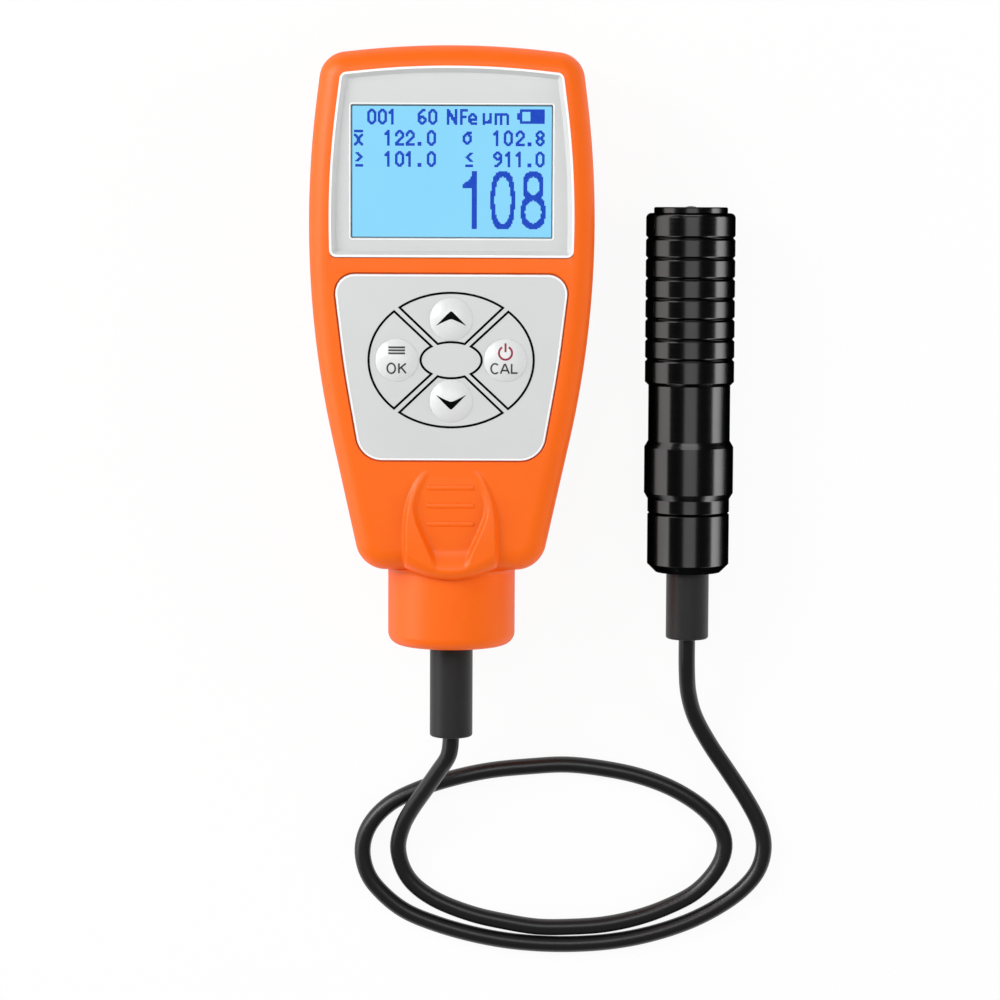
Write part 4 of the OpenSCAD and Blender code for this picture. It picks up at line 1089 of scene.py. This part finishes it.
def dot_boxes(lit):
    """A flat box on the glass for each run of lit dots in a row: eight corners and six faces."""
    change = np.diff(np.pad(lit, ((0, 0), (1, 1))).astype(int), axis=1)
    row, first = np.argwhere(change == 1).T
    last = np.argwhere(change == -1)[:, 1]
    x = -view_x + (first + last) / 2 * pitch[0]
    y = view_y[1] - (row + 0.5) * pitch[1]
    middle = np.column_stack([x, y, 0 * x + glass_z])
    half_x = (last - first) / 2 * pitch[0] * DOT_FILL
    half = np.column_stack([half_x, 0 * x + pitch[1] / 2 * DOT_FILL, 0 * x + DOT_RISE])
    corner = np.array([(x, y, z) for z in (0, 1) for x, y in ((-1, -1), (1, -1), (1, 1), (-1, 1))])
    points = middle[:, None] + corner * half[:, None]
    faces = np.array([(3, 2, 1, 0), (4, 5, 6, 7), (0, 1, 5, 4), (1, 2, 6, 5), (2, 3, 7, 6), (3, 0, 4, 7)])
    return points.reshape(-1, 3), (faces + 8 * np.arange(len(middle))[:, None, None]).reshape(-1, 4)


make_piece("lcd_readout", [dot_boxes(screen)], lit_dots, "case")

# %% The painted shade at the edge of the display
SHADE_IN, SHADE_IN_R, SHADE_OUT, SHADE_OUT_R = 0.2, 0.1, 0.3, 0.3
shade_inner = rectangle(view_x - SHADE_IN, view_y[0] + SHADE_IN, view_y[1] - SHADE_IN, SHADE_IN_R)
shade_outer = rectangle(view_x + SHADE_OUT, view_y[0] - SHADE_OUT, view_y[1] + SHADE_OUT, SHADE_OUT_R)
shade_heights = (glass_z, glass_z + DOT_RISE)
shade_surfaces = [between(ring, *shade_heights) for ring in (shade_inner, shade_outer)]
shade_surfaces += [plate(z, shade_outer, shade_inner) for z in shade_heights]
make_piece("lcd_seal", shade_surfaces, painted_edge_shade, "case")

# %% [markdown]
# The keypad panel is a thin silver plate that lies in the face with a fine gap round it. It could be a plain
# extrusion, but a real plate has a rounded edge that catches the light, so its wall is a loft whose last
# levels follow a quarter circle. Four round holes let the keys through.

# %% The keypad panel
PANEL_BEVEL, PANEL_PLAY, KEY_RUN = 0.2, 0.16, 0.02
panel_bevel = np.column_stack(
    [
        FACE_Z - PANEL_BEVEL * (1 - np.sin(quarter[::2])),
        PANEL_PLAY + PANEL_BEVEL * (1 - np.cos(quarter[::2])),
    ]
)
key_rings = [circle(place, KEY_D / 2 + KEY_RUN) for place in key_places.values()]
make_piece(
    "keypad_plate",
    [
        loft(keypad_outline, [(keypad_low[2], PANEL_PLAY), *panel_bevel]),
        plate(FACE_Z, keypad_outline(PANEL_PLAY + PANEL_BEVEL), *key_rings),
        plate(keypad_low[2], keypad_outline(PANEL_PLAY), *key_rings),
        *[between(ring, keypad_low[2], FACE_Z) for ring in key_rings],
    ],
    silver_lacquer,
    "case",
    ["keypad_panel"],
)

# %% [markdown]
# Each key is a low dome with a flange that keeps it under the panel and a stem that reaches its switch. A
# scaled ball would do for the dome, but one profile turned round the key's axis makes the whole piece.

# %% The keys
KEY_H, FLANGE_T, FLANGE_DROP, STEM_R = 1.25, 0.8, 0.05, 1.8
dome_r = (KEY_D**2 / 4 + KEY_H**2) / (2 * KEY_H)
dome_z = FACE_Z + KEY_H - dome_r
dome_turn = np.linspace(0, math.asin(KEY_D / 2 / dome_r), 25)
flange_top = keypad_low[2] - FLANGE_DROP


def dome_key(name, place):
    """A key turned round its upright axis: a dome, a flange under the panel and a stem to the switch."""
    stem_z = box_mm("key_" + name)[0][2]
    dome = np.column_stack([dome_r * np.sin(dome_turn), dome_z + dome_r * np.cos(dome_turn)])
    body = [
        (KEY_D / 2, flange_top),
        (FLANGE_R, flange_top),
        (FLANGE_R, flange_top - FLANGE_T),
        (STEM_R, flange_top - FLANGE_T),
        (STEM_R, stem_z),
        (0, stem_z),
    ]
    return turned(np.concatenate([dome, body]), (*place, 0), axis=2, steps=96)


for key, place in key_places.items():
    make_piece(
        f"dome_key_{key}",
        [dome_key(key, place)],
        key_lacquer_painted_lighter,
        f"{key}_key",
        [f"key_{key}"],
    )

# %% [markdown]
# Print has hardly any thickness. A material could paint it, but a mesh keeps it sharp at any distance, so
# each printed line is a low ribbon along its path, laid on the surface that carries it: the flat face, the
# floor of the bezel or the dome of a key.

# %% Ribbons of print
PRINT_T, PRINT_POINTS, MITRE_FLOOR = 0.03, 5, 0.3


def face_plane(x, y):
    """The face is flat."""
    return np.full_like(x, FACE_Z)


def tray_plane(x, y):
    """The floor of the bezel is flat too."""
    return np.full_like(x, floor_z)


def dome_over(place):
    """Height of the dome of the key at a place, as a function of x and y."""
    return lambda x, y: dome_z + np.sqrt(dome_r**2 - (x - place[0]) ** 2 - (y - place[1]) ** 2)


def strip(left, right, height, closed=False):
    """A low raised strip between two edges, laid on a surface of the given height, with closed ends."""
    share = np.linspace(0, 1, PRINT_POINTS)[None, :, None]
    top = left[:, None] * (1 - share) + right[:, None] * share
    low = top[:, ::-1]
    rows = np.concatenate(
        [
            np.dstack([top, height(top[..., 0], top[..., 1]) + PRINT_T]),
            np.dstack([low, height(low[..., 0], low[..., 1]) - PRINT_T]),
        ],
        axis=1,
    )
    if closed:
        return [grid(np.concatenate([rows, rows[:1]]))]
    return [grid(rows), cap(rows[0]), cap(rows[-1])]


def ribbon(path, width, height, closed=False):
    """A strip of even width along a path, its corners mitred: edges half the width to each side."""
    path = np.asarray(path, float)
    before = np.roll(path, 1, 0) if closed else np.concatenate([path[:1] * 2 - path[1:2], path[:-1]])
    after = np.roll(path, -1, 0) if closed else np.concatenate([path[1:], path[-1:] * 2 - path[-2:-1]])
    into, out = unit(path - before), unit(after - path)
    side_in = np.column_stack([-into[:, 1], into[:, 0]])
    side_out = np.column_stack([-out[:, 1], out[:, 0]])
    mitre = (side_in + side_out) / (1 + (side_in * side_out).sum(1, keepdims=True)).clip(MITRE_FLOOR)
    return strip(path + mitre * width / 2, path - mitre * width / 2, height, closed)


def ellipse_arc(axes, first, last, steps=48):
    """Points on an ellipse round the origin between two angles in degrees."""
    angle = np.radians(np.linspace(first, last, steps))
    return np.column_stack([axes[0] * np.cos(angle), axes[1] * np.sin(angle)])


print("key dome radius:", round(dome_r, 3))

# %% [markdown]
# Round the keys runs a ring of four fields, one for each key, outlined in black. Each field lies between
# two ellipses round the same middle, so its outline is an arc of one and an arc of the other.

# %% The printed fields
# Screen ink lies on the lacquer as a dense even film with a slight ripple, less glossy than what it covers
black_ink = finish(
    "black ink, screen printed", ("#020202", "#050505"), 3.0, (0.45, 0.6), 0.3, 0.004, Specular_IOR_Level=0.05
)
grey_ink = finish("dark grey ink, screen printed", ("#38383b", "#414144"), 3.0, (0.45, 0.6), 0.3, 0.004)
red_ink = finish("dark red ink, screen printed", ("#a01f45", "#8e1a3c"), 3.0, (0.45, 0.6), 0.3, 0.004)
RING_OUT, RING_IN, RING_LINE = (15.35, 12.5), (5.67, 3.35), 0.42
# The middle of each field, half of its outer arc and half of its inner arc, in degrees
FIELDS = [(90, 38.7, 26.2), (180, 46.3, 49.8), (270, 38.7, 26.2), (360, 46.3, 49.8)]


def field(middle, outer_half, inner_half):
    """Outline of one field: an arc of the outer ellipse, and back along an arc of the inner one."""
    outer = ellipse_arc(RING_OUT, middle - outer_half, middle + outer_half)
    inner = ellipse_arc(RING_IN, middle + inner_half, middle - inner_half)
    return np.concatenate([outer, inner]) + (0, keys_y)


field_lines = [part for f in FIELDS for part in ribbon(field(*f), RING_LINE, face_plane, True)]
make_piece("keypad_print", field_lines, black_ink, "case")

# %% [markdown]
# A thin bright line, a painted highlight, follows the rim of the bezel, the rim of the keypad and the opening
# of the display. A bevel alone is too narrow to catch it from here, so the same ribbons paint it in white.

# %% The painted highlights on the edges
# A thin white line runs round every silver edge as a painted highlight, for the light that the rounded edge
# catches
painted_edge_highlight = finish(
    "white line, painted highlight", ("#ffffff", "#fafafa"), 6.0, (0.3, 0.4), 0.3, 0.002
)
# Each line's distance from its edge, and its width
BEZEL_EDGE, PANEL_EDGE, VIEW_EDGE = (0.28, 0.42), (0.42, 0.3), (0.22, 0.2)
view_edge_ring = rectangle(
    view_x + VIEW_EDGE[0], view_y[0] - VIEW_EDGE[0], view_y[1] + VIEW_EDGE[0], VIEW_CORNER_R + VIEW_EDGE[0]
)
highlight_lines = [
    *ribbon(bezel_outline(BEZEL_EDGE[0]), BEZEL_EDGE[1], face_plane, True),
    *ribbon(keypad_outline(PANEL_EDGE[0]), PANEL_EDGE[1], face_plane, True),
    *ribbon(view_edge_ring, VIEW_EDGE[1], tray_plane, True),
]
make_piece("edge_lacquer_lines", highlight_lines, painted_edge_highlight, "case")

# %% [markdown]
# The legends are arrow heads, plain capitals, three bars for the menu and the common sign for power. A font
# would give letters too, but strokes as wide as the print's own line can follow the dome of the key.

# %% Signs and capitals
CHEVRON_HALF, CHEVRON_TIP, CHEVRON_TOP, CHEVRON_NOTCH = 2.86, -1.22, 1.52, 0.05
CHEVRON_SOFT, CHEVRON_BEND = 0.004, 1.15
LETTER_H, LETTER_LINE, LETTER_Y = 1.85, 0.3, -1.5
BAR_HALF, BAR_LINE, BAR_YS = 1.55, 0.36, (1.29, 1.84, 2.38)
POWER_R, POWER_LINE, POWER_Y, POWER_GAP_DEG, POWER_BAR = 1.22, 0.37, 1.42, 30, (1.6, 3.2)


def chevron(place, way):
    """An arrow head without a shaft: two edges that fall from the point to sharp tips, with a soft point."""
    u = np.linspace(-1, 1, 61)
    least = np.sqrt(CHEVRON_SOFT)
    fall = (np.sqrt(u**2 + CHEVRON_SOFT) - least) / (np.sqrt(1 + CHEVRON_SOFT) - least)
    upper = CHEVRON_TOP + (CHEVRON_TIP - CHEVRON_TOP) * fall
    lower = CHEVRON_NOTCH + (CHEVRON_TIP - CHEVRON_NOTCH) * fall**CHEVRON_BEND
    edges = [np.column_stack([CHEVRON_HALF * u, y * way]) + place for y in (upper, lower)]
    return strip(*edges, dome_over(place))


def letter(name):
    """Strokes of a plain capital in a box from -0.5 to 0.5 across and up."""
    arc = ellipse_arc((0.5, 0.5), 0, 360, 41)[:-1]
    strokes = {
        "O": [(arc, True)],
        "C": [(ellipse_arc((0.5, 0.5), 45, 315, 33), False)],
        "K": [([(-0.45, -0.5), (-0.45, 0.5)], False), ([(0.45, 0.5), (-0.4, -0.05)], False),
              ([(-0.15, 0.1), (0.48, -0.5)], False)],
        "A": [([(-0.5, -0.5), (-0.03, 0.5)], False), ([(0.5, -0.5), (0.03, 0.5)], False),
              ([(-0.3, -0.18), (0.3, -0.18)], False)],
        "L": [([(-0.4, 0.5), (-0.4, -0.44), (0.45, -0.44)], False)],
    }
    return strokes[name]


def finer(path, steps=8):
    """The same path with each stretch cut into equal steps, so that it can follow a dome."""
    share = np.arange(steps)[:, None] / steps
    cut = path[:-1, None] + (path[1:] - path[:-1])[:, None] * share
    return np.concatenate([cut.reshape(-1, 2), path[-1:]])


def word(place, letters):
    """Capitals on a key: pairs of a letter with its middle and width."""
    height = dome_over(place)
    parts = []
    for name, middle, width in letters:
        for stroke, closed in letter(name):
            points = np.asarray(stroke) * (width, LETTER_H) + (middle + place[0], LETTER_Y + place[1])
            parts += ribbon(points if closed else finer(points), LETTER_LINE, height, closed)
    return parts


def bars(place):
    """Three short level lines, one above the other."""
    across = np.linspace(-BAR_HALF, BAR_HALF, 9)
    rows = [np.column_stack([across, np.full(9, y)]) + place for y in BAR_YS]
    return [part for row in rows for part in ribbon(row, BAR_LINE, dome_over(place))]


def power_symbol(place):
    """A ring that is open at the top, and an upright line in its gap."""
    arc = ellipse_arc((POWER_R, POWER_R), 90 + POWER_GAP_DEG, 450 - POWER_GAP_DEG) + (0, POWER_Y)
    line = np.column_stack([np.zeros(9), np.linspace(*POWER_BAR, 9)])
    return [part for path in (arc, line) for part in ribbon(path + place, POWER_LINE, dome_over(place))]


print("strokes of a K:", len(letter("K")))

# %% The legends of the keys
up, down, menu, power = (np.array(key_places[key]) for key in ("up", "down", "menu", "power"))
make_piece("legend_up", chevron(up, 1), black_ink, "up_key")
make_piece("legend_down", chevron(down, -1), black_ink, "down_key")
menu_word = word(menu, [("O", -1.0, 1.5), ("K", 1.06, 1.4)])
make_piece("legend_menu", bars(menu) + menu_word, grey_ink, "menu_key")
power_word = word(power, [("C", -1.92, 1.5), ("A", -0.1, 1.6), ("L", 1.68, 1.3)])
make_piece("legend_power_word", power_word, grey_ink, "power_key")
make_piece("legend_power_symbol", power_symbol(power), red_ink, "power_key")

# %% [markdown]
# The probe is turned from aluminium and anodised black. The lathe leaves fine rings on it that break up the
# light into soft bands, and each groove, chamfer and seam has a tiny eased edge that catches a bright line.
# Profiles with a small radius at every corner, carried round the axis, give just that.

# %% Finish of the probe and the reliefs
# Black anodising: a very dark metal that mirrors lamps dimly as long bands and stays black beside them
black_anodising = finish(
    "black anodised aluminium, turned",
    ("#1b1b1b", "#181818"),
    8.0,
    (0.14, 0.24),
    None,
    0.009,
    line_mm=0.33,
    Metallic=1.0,
    Specular_Tint=hex_linear("#2a2a2a"),
)
# Moulded rubber: nearly black, dull, with a fine powdery grain that spreads every highlight
moulded_rubber = finish(
    "black rubber, moulded", ("#2a2a2b", "#252526"), 4.0, (0.36, 0.48), 0.3, 0.006, Specular_IOR_Level=0.3
)
print("finishes:", black_anodising.name, "and", moulded_rubber.name)

# %% Profiles of the probe
sleeve_low, sleeve_high = box_mm("probe_sleeve")
barrel_low, barrel_high = box_mm("probe_barrel")
cap_low, cap_high = box_mm("probe_end_cap")
PROBE_R = (sleeve_high[0] - sleeve_low[0]) / 2
BARREL_STEP = 0.7
BARREL_R = PROBE_R - BARREL_STEP
probe_axis = np.array([(sleeve_low[0] + sleeve_high[0]) / 2, 0, (sleeve_low[2] + sleeve_high[2]) / 2])
LIP_R, BORE_R, LIP_LEN = 7.13, 7.48, 4.0
GROOVE_START, PROBE_GROOVE_PITCH, PROBE_GROOVES = 4.75, 3.86, 7
PROBE_GROOVE_W, PROBE_GROOVE_H = 0.9, 0.4
EDGE, FINE, NOSE_R, RING_FILLET, SPIGOT_PLAY = 0.12, 0.05, 1.0, 0.2, 0.1
SPIGOT_LEN, BARREL_BORE = 12.0, 5.0
RING_START, RING_LEN, RING_CHAMFER = 10.6, 11.2, 1.2
CAP_SPIGOT_LEN, CAP_CHAMFER, SEAM = 5.0, 1.6, 0.3

groove_at = GROOVE_START + PROBE_GROOVE_PITCH * np.arange(PROBE_GROOVES)
groove_corners = np.stack(
    [
        np.array([PROBE_R, PROBE_R - PROBE_GROOVE_H, PROBE_R]) + 0 * groove_at[:, None],
        groove_at[:, None] + np.array([-0.5, 0, 0.5]) * PROBE_GROOVE_W,
        np.array([EDGE, FINE, EDGE]) + 0 * groove_at[:, None],
    ],
    -1,
).reshape(-1, 3)
sleeve_len = sleeve_high[1] - sleeve_low[1]
barrel_len = sleeve_low[1] - cap_high[1] + CAP_SPIGOT_LEN
cap_len = cap_high[1] - CAP_SPIGOT_LEN - cap_low[1]
sleeve_profile = [
    (LIP_R, 0, FINE),
    (PROBE_R, 0, NOSE_R),
    *groove_corners,
    (PROBE_R, sleeve_len - BARREL_STEP, EDGE),
    (BARREL_R, sleeve_len, FINE),
    (BORE_R, sleeve_len, SHARP),
    (BORE_R, LIP_LEN, SHARP),
    (LIP_R, LIP_LEN, SHARP),
]
barrel_profile = [
    (BARREL_BORE, -SPIGOT_LEN, SHARP),
    (BORE_R - SPIGOT_PLAY, -SPIGOT_LEN, SHARP),
    (BORE_R - SPIGOT_PLAY, 0, SHARP),
    (BARREL_R, 0, SHARP),
    (BARREL_R, RING_START, RING_FILLET),
    (PROBE_R, RING_START + RING_CHAMFER, EDGE),
    (PROBE_R, RING_START + RING_LEN - RING_CHAMFER, EDGE),
    (BARREL_R, RING_START + RING_LEN, RING_FILLET),
    (BARREL_R, barrel_len - SEAM, EDGE),
    (BARREL_R - SEAM, barrel_len, FINE),
    (BARREL_BORE, barrel_len, SHARP),
]
cap_profile = [
    (NECK_HOLE, -CAP_SPIGOT_LEN, SHARP),
    (BARREL_BORE - SPIGOT_PLAY, -CAP_SPIGOT_LEN, SHARP),
    (BARREL_BORE - SPIGOT_PLAY, 0, SHARP),
    (BARREL_R - SEAM, 0, FINE),
    (BARREL_R, SEAM, EDGE),
    (BARREL_R, cap_len - CAP_CHAMFER, EDGE),
    (BARREL_R - CAP_CHAMFER, cap_len, EDGE),
    (NECK_HOLE, cap_len, FINE),
]
print("corners of the sleeve's profile:", len(sleeve_profile))

# %% The probe


def along_probe(corners, start_y):
    """A closed profile of (radius, distance, corner radius), turned round the probe from start_y to -Y."""
    profile = rounded(corners, steps=5) * (1, -1)
    return turned(np.concatenate([profile, profile[:1]]), probe_axis + (0, start_y, 0))


for name, corners, start_y, node in (
    ("probe_sleeve_turned", sleeve_profile, sleeve_high[1], "probe_sleeve"),
    ("probe_barrel_turned", barrel_profile, sleeve_low[1], "probe_barrel"),
    ("probe_end_cap_turned", cap_profile, cap_high[1] - CAP_SPIGOT_LEN, "probe_end_cap"),
):
    make_piece(name, [along_probe(corners, start_y)], black_anodising, "case", [node])

# %% [markdown]
# A relief is a rubber sleeve that keeps the lead from kinking where it leaves a wall: a flange and a neck
# hold it in the wall, and the lead goes into its round end. It is one more turned profile, made twice.

# %% The reliefs
RELIEF_R, RELIEF_NECK_R, RELIEF_FLANGE_R, RELIEF_FLANGE_T = 4.1, 3.1, 4.6, 1.5
RELIEF_EDGE, FLANGE_EDGE, HOLE_EDGE, HOLE_PLAY, LEAD_SINK = 0.5, 0.1, 0.15, 0.1, 3.0
LEAD_HOLE_R = LEAD_D / 2 + HOLE_PLAY


def relief_surface(neck, sleeve, start):
    """A relief along -Y: a flange and a neck behind a wall, and a sleeve with a round end in front of it."""
    corners = [
        (0, -neck - RELIEF_FLANGE_T, 0),
        (RELIEF_FLANGE_R, -neck - RELIEF_FLANGE_T, FLANGE_EDGE),
        (RELIEF_FLANGE_R, -neck, FLANGE_EDGE),
        (RELIEF_NECK_R, -neck, FINE),
        (RELIEF_NECK_R, 0, FINE),
        (RELIEF_R, 0, HOLE_EDGE),
        (RELIEF_R, sleeve, RELIEF_EDGE),
        (LEAD_HOLE_R, sleeve, HOLE_EDGE),
        (LEAD_HOLE_R, sleeve - LEAD_SINK, SHARP),
        (0, sleeve - LEAD_SINK, 0),
    ]
    return turned(rounded(corners, steps=6) * (1, -1), start, steps=96)


case_relief_low, _ = box_mm("case_relief")
probe_relief_low, probe_relief_high = box_mm("probe_relief")
case_start = np.array([0, END_Y, SPLIT_Z])
probe_start = probe_axis + (0, cap_low[1], 0)
probe_neck = probe_relief_high[1] - RELIEF_FLANGE_T - cap_low[1]
for name, neck, sleeve, start, node in (
    ("case_relief_sleeve", COLLAR_WALL, END_Y - case_relief_low[1], case_start, "case_relief"),
    ("probe_relief_sleeve", probe_neck, cap_low[1] - probe_relief_low[1], probe_start, "probe_relief"),
):
    surface = relief_surface(neck, sleeve, start)
    make_piece(name, [surface], moulded_rubber, "case", [node])

# %% [markdown]
# The solids that stay as they are, most of them inside the case, still get the finish of what they are made
# of: clear acrylic, glass-epoxy board, moulded plastics, plated steel, printed film and enamelled wire.

# %% Finishes of the other solids
# Cast acrylic: clear and hard-polished, it mirrors the room faintly
clear_acrylic = finish(
    "clear acrylic, cast", ("#fcfeff", "#f8fcff"), 20.0, (0.01, 0.03), 5.0, 0.0005,
    IOR=1.49, Transmission_Weight=1.0, Specular_IOR_Level=0.15,
)
# Hard chrome over tool steel: lapped to a dark mirror, so it shows black with one small glint
hard_chrome = finish(
    "hard-chromed steel, lapped", ("#4a4a4c", "#414143"), 1.5, (0.10, 0.18), 0.15, 0.001, Metallic=1.0
)
# Glass-epoxy board under solder mask: deep green, glossy, with a faint weave of glass below
board_mask = finish("glass-epoxy board, solder mask", ("#22613a", "#2b7042"), 1.2, (0.2, 0.35), 0.6, 0.01)
# Moulding compound: nearly black with a dull sand-blasted grain
dark_compound = finish("black epoxy moulding compound", ("#141415", "#1d1d1f"), 2.0, (0.5, 0.65), 0.2, 0.01)
# Nylon: ivory, waxy, slightly cloudy
ivory_nylon = finish("ivory nylon, moulded", ("#e9e0c8", "#e0d6bb"), 3.0, (0.4, 0.5), 0.3, 0.008)
# Polycarbonate: a white diffuser with a satin mould grain
white_polycarbonate = finish("white polycarbonate", ("#eeeeec", "#e6e6e3"), 6.0, (0.4, 0.55), 0.3, 0.01)
# Nickel plate: bright grey metal whose fine drawing marks dull its mirror
nickel_plate = finish(
    "nickel-plated steel", ("#c9c6c0", "#b9b6b1"), 1.5, (0.18, 0.34), 0.15, 0.004, Metallic=1.0
)
# Shrink film: a glossy printed sleeve with slow ripples
cell_film = finish("blue shrink film", ("#2f629b", "#3a70aa"), 5.0, (0.15, 0.28), 2.5, 0.02)
# Enamelled wire: copper under clear amber varnish, wound turn by turn
enamelled_copper = finish(
    "enamelled copper, wound", ("#c0703a", "#a85d2c"), 2.0, (0.2, 0.38), None, 0.05,
    line_mm=0.35, Metallic=1.0,
)

NODE_FINISHES = {
    clear_acrylic: ["display_window"],
    white_polycarbonate: ["lcd_backlight"],
    board_mask: ["main_board"],
    dark_compound: ["board_chips", "tact_switches", "buzzer"],
    ivory_nylon: ["lead_socket"],
    pvc_jacket: ["inner_lead"],
    cell_film: ["battery_cell_left", "battery_cell_right"],
    nickel_plate: [
        "battery_springs", "bridge_contact", "terminal_contacts", "case_screws", "sensor_spring"
    ],
    hard_chrome: ["pole_tip"],
    black_anodising: ["sensor_carrier"],
    enamelled_copper: ["sensor_coil"],
}
for material, nodes in NODE_FINISHES.items():
    for node in nodes:
        frame["nodes"][node].data.materials.clear()
        frame["nodes"][node].data.materials.append(material)
print("solids with a finish of their own:", sum(len(nodes) for nodes in NODE_FINISHES.values()))

# %% [markdown]
# The light is a plain product set of soft boxes: the key at the upper left, a weaker fill on the right, one
# above the face that the flanks of the grip mirror, a low one on the left for the rounded edge, and one in
# front for the lip. Each power is worked out from the share of the face's light that the box gives, so the
# level stays plain. The fill and the front box are flagged so that nothing mirrors them.

# %% Lights
AIM_POINT = Vector((0.015, -0.015, 0.02))


def soft_box(name, place, size, aim, right):
    """An area lamp at a place, aimed at a point; its size runs along right first, and then across it."""
    lamp = bpy.data.lights.new(name, "AREA")
    lamp.shape = "RECTANGLE"
    lamp.size, lamp.size_y = size
    holder = bpy.data.objects.new(name, lamp)
    holder.location = place
    holder.rotation_mode = "QUATERNION"
    holder.rotation_quaternion = facing(aim - holder.location, right)
    bpy.context.scene.collection.objects.link(holder)
    return holder


def face_share(holder, share):
    """
    Set a lamp's power so that a white face at the aim, looking up, gets the given share of the light at which
    it renders as white: power = share * 4 * pi * distance squared / cosine of the slant.
    """
    way = AIM_POINT - holder.location
    holder.data.energy = share * 4 * math.pi * way.length_squared * way.length / abs(way.z)
    print(f"{holder.name}: {holder.data.energy:.2f} W")


# Each box: its place, its size, the way its first side runs, its share of the light, and if it is mirrored
SOFT_BOXES = {
    "key": ((-0.53, 0.29, 0.44), (0.42, 0.42), (1, 0, 0), 0.28, True),
    "fill": ((0.75, -0.10, 0.28), (0.45, 0.70), (1, 0, 0), 0.14, False),
    "top": ((0.02, 0.22, 0.72), (0.60, 0.28), (1, 0, 0), 0.20, True),
    "low left": ((-0.80, 0.0, 0.25), (0.70, 0.40), (0, 1, 0), 0.06, True),
    "front": ((0.10, -0.75, 0.30), (0.70, 0.40), (1, 0, 0), 0.05, False),
}
for name, (place, size, right, share, mirrored) in SOFT_BOXES.items():
    box = soft_box(name, place, size, AIM_POINT, right)
    box.visible_glossy = mirrored
    face_share(box, share)

# %% [markdown]
# Black turned metal shows nothing but what it mirrors. Three long strips give it its bands: one above, one on
# the right, and a thin wand in the gap beside the case. A fourth beyond the top draws lines along the edges
# of the grooves. In a studio, flags would keep them off the rest. Here each lists the pieces it lights.

# %% Strips for the black pieces
PROBE_X, PROBE_Z = probe_axis[0] * MM, probe_axis[2] * MM
black_pieces = bpy.data.collections.new("black pieces")
for piece in bpy.data.objects:
    if piece.name.startswith(("probe_sleeve", "probe_barrel", "probe_end_cap", "sensor_carrier")):
        black_pieces.objects.link(piece)


def strip_box(name, place, size, radiance, aim_y=None):
    """A strip for the black pieces alone, along Y or, with aim_y, across it; power = 4 * radiance * area."""
    aim = Vector((PROBE_X, place[1] if aim_y is None else aim_y, PROBE_Z))
    holder = soft_box(name, place, size, aim, (0, 1, 0) if aim_y is None else (1, 0, 0))
    holder.data.energy = 4 * radiance * size[0] * size[1]
    holder.visible_camera = False
    holder.light_linking.receiver_collection = black_pieces
    holder.light_linking.blocker_collection = black_pieces


strip_box("strip above", (0.055, -0.45, 0.70), (1.50, 0.42), 5.6)
strip_box("strip on the right", (0.595, -0.45, 0.05), (1.50, 0.40), 21.0)
strip_box("wand beside the case", (0.033, -0.015, 0.0157), (0.14, 0.008), 9.0)
strip_box("strip beyond the top", (PROBE_X, 0.70, 0.40), (0.50, 0.30), 12.0, aim_y=0.0)

# %% [markdown]
# The gauge lies on white paper in an evenly lit room. A floor lit to full white would need more light than
# the object can take, so the paper shows as white to the camera, to mirrors and to glass by itself.

# %% The world and the floor
WORLD_LEVEL = 0.22
FLOOR_HALF_M = 3.0
FLOOR_WHITE_SHARE = 0.93
FIBRE_MM = 40.0

world = bpy.data.worlds.new("studio")
bpy.context.scene.world = world
world.use_nodes = True
world.node_tree.nodes["Background"].inputs["Color"].default_value = hex_linear("#ffffff")
world.node_tree.nodes["Background"].inputs["Strength"].default_value = WORLD_LEVEL


def paper_floor():
    """
    White paper. Rays from the camera, mirrors and glass see it mostly as plain white, with a share of the
    real shade so that shadows stay. All other rays see pale paper, and from below the floor is clear.
    """
    material = bpy.data.materials.new("white paper, coated")
    material.use_nodes = True
    tree = material.node_tree
    tree.nodes.clear()
    place = add_node(tree, "TexCoord").outputs["Object"]
    fibre = add_node(tree, "TexNoise", {"Vector": place, "Scale": 1 / (FIBRE_MM * MM), "Detail": 2.0})
    shades = {0: fibre.outputs[0], 6: hex_linear("#fafafa"), 7: hex_linear("#f6f6f6")}
    shade = add_node(tree, "Mix", shades, data_type="RGBA").outputs[2]
    paper = add_node(tree, "BsdfDiffuse", {"Color": shade}).outputs[0]
    white = add_node(tree, "Emission", {"Strength": 1.0}).outputs[0]
    ray = add_node(tree, "LightPath").outputs
    seen = add_node(tree, "Math", {0: ray["Is Camera Ray"], 1: ray["Is Glossy Ray"]}, operation="MAXIMUM")
    seen = add_node(tree, "Math", {0: seen.outputs[0], 1: ray["Is Transmission Ray"]}, operation="MAXIMUM")
    share = add_node(tree, "Math", {0: seen.outputs[0], 1: FLOOR_WHITE_SHARE}, operation="MULTIPLY")
    front = add_node(tree, "MixShader", {0: share.outputs[0], 1: paper, 2: white}).outputs[0]
    back = add_node(tree, "NewGeometry").outputs["Backfacing"]
    clear = add_node(tree, "BsdfTransparent").outputs[0]
    both = add_node(tree, "MixShader", {0: back, 1: front, 2: clear}).outputs[0]
    add_node(tree, "OutputMaterial", {"Surface": both})
    return material


floor_mesh = bpy.data.meshes.new("floor")
floor_corners = np.array([(-1, -1, 0), (1, -1, 0), (1, 1, 0), (-1, 1, 0)]) * FLOOR_HALF_M
floor_mesh.from_pydata(floor_corners.tolist(), [], [(0, 1, 2, 3)])
floor_mesh.materials.append(paper_floor())
floor = bpy.data.objects.new("floor", floor_mesh)
bpy.context.scene.collection.objects.link(floor)
print("floor size in m:", 2 * FLOOR_HALF_M)
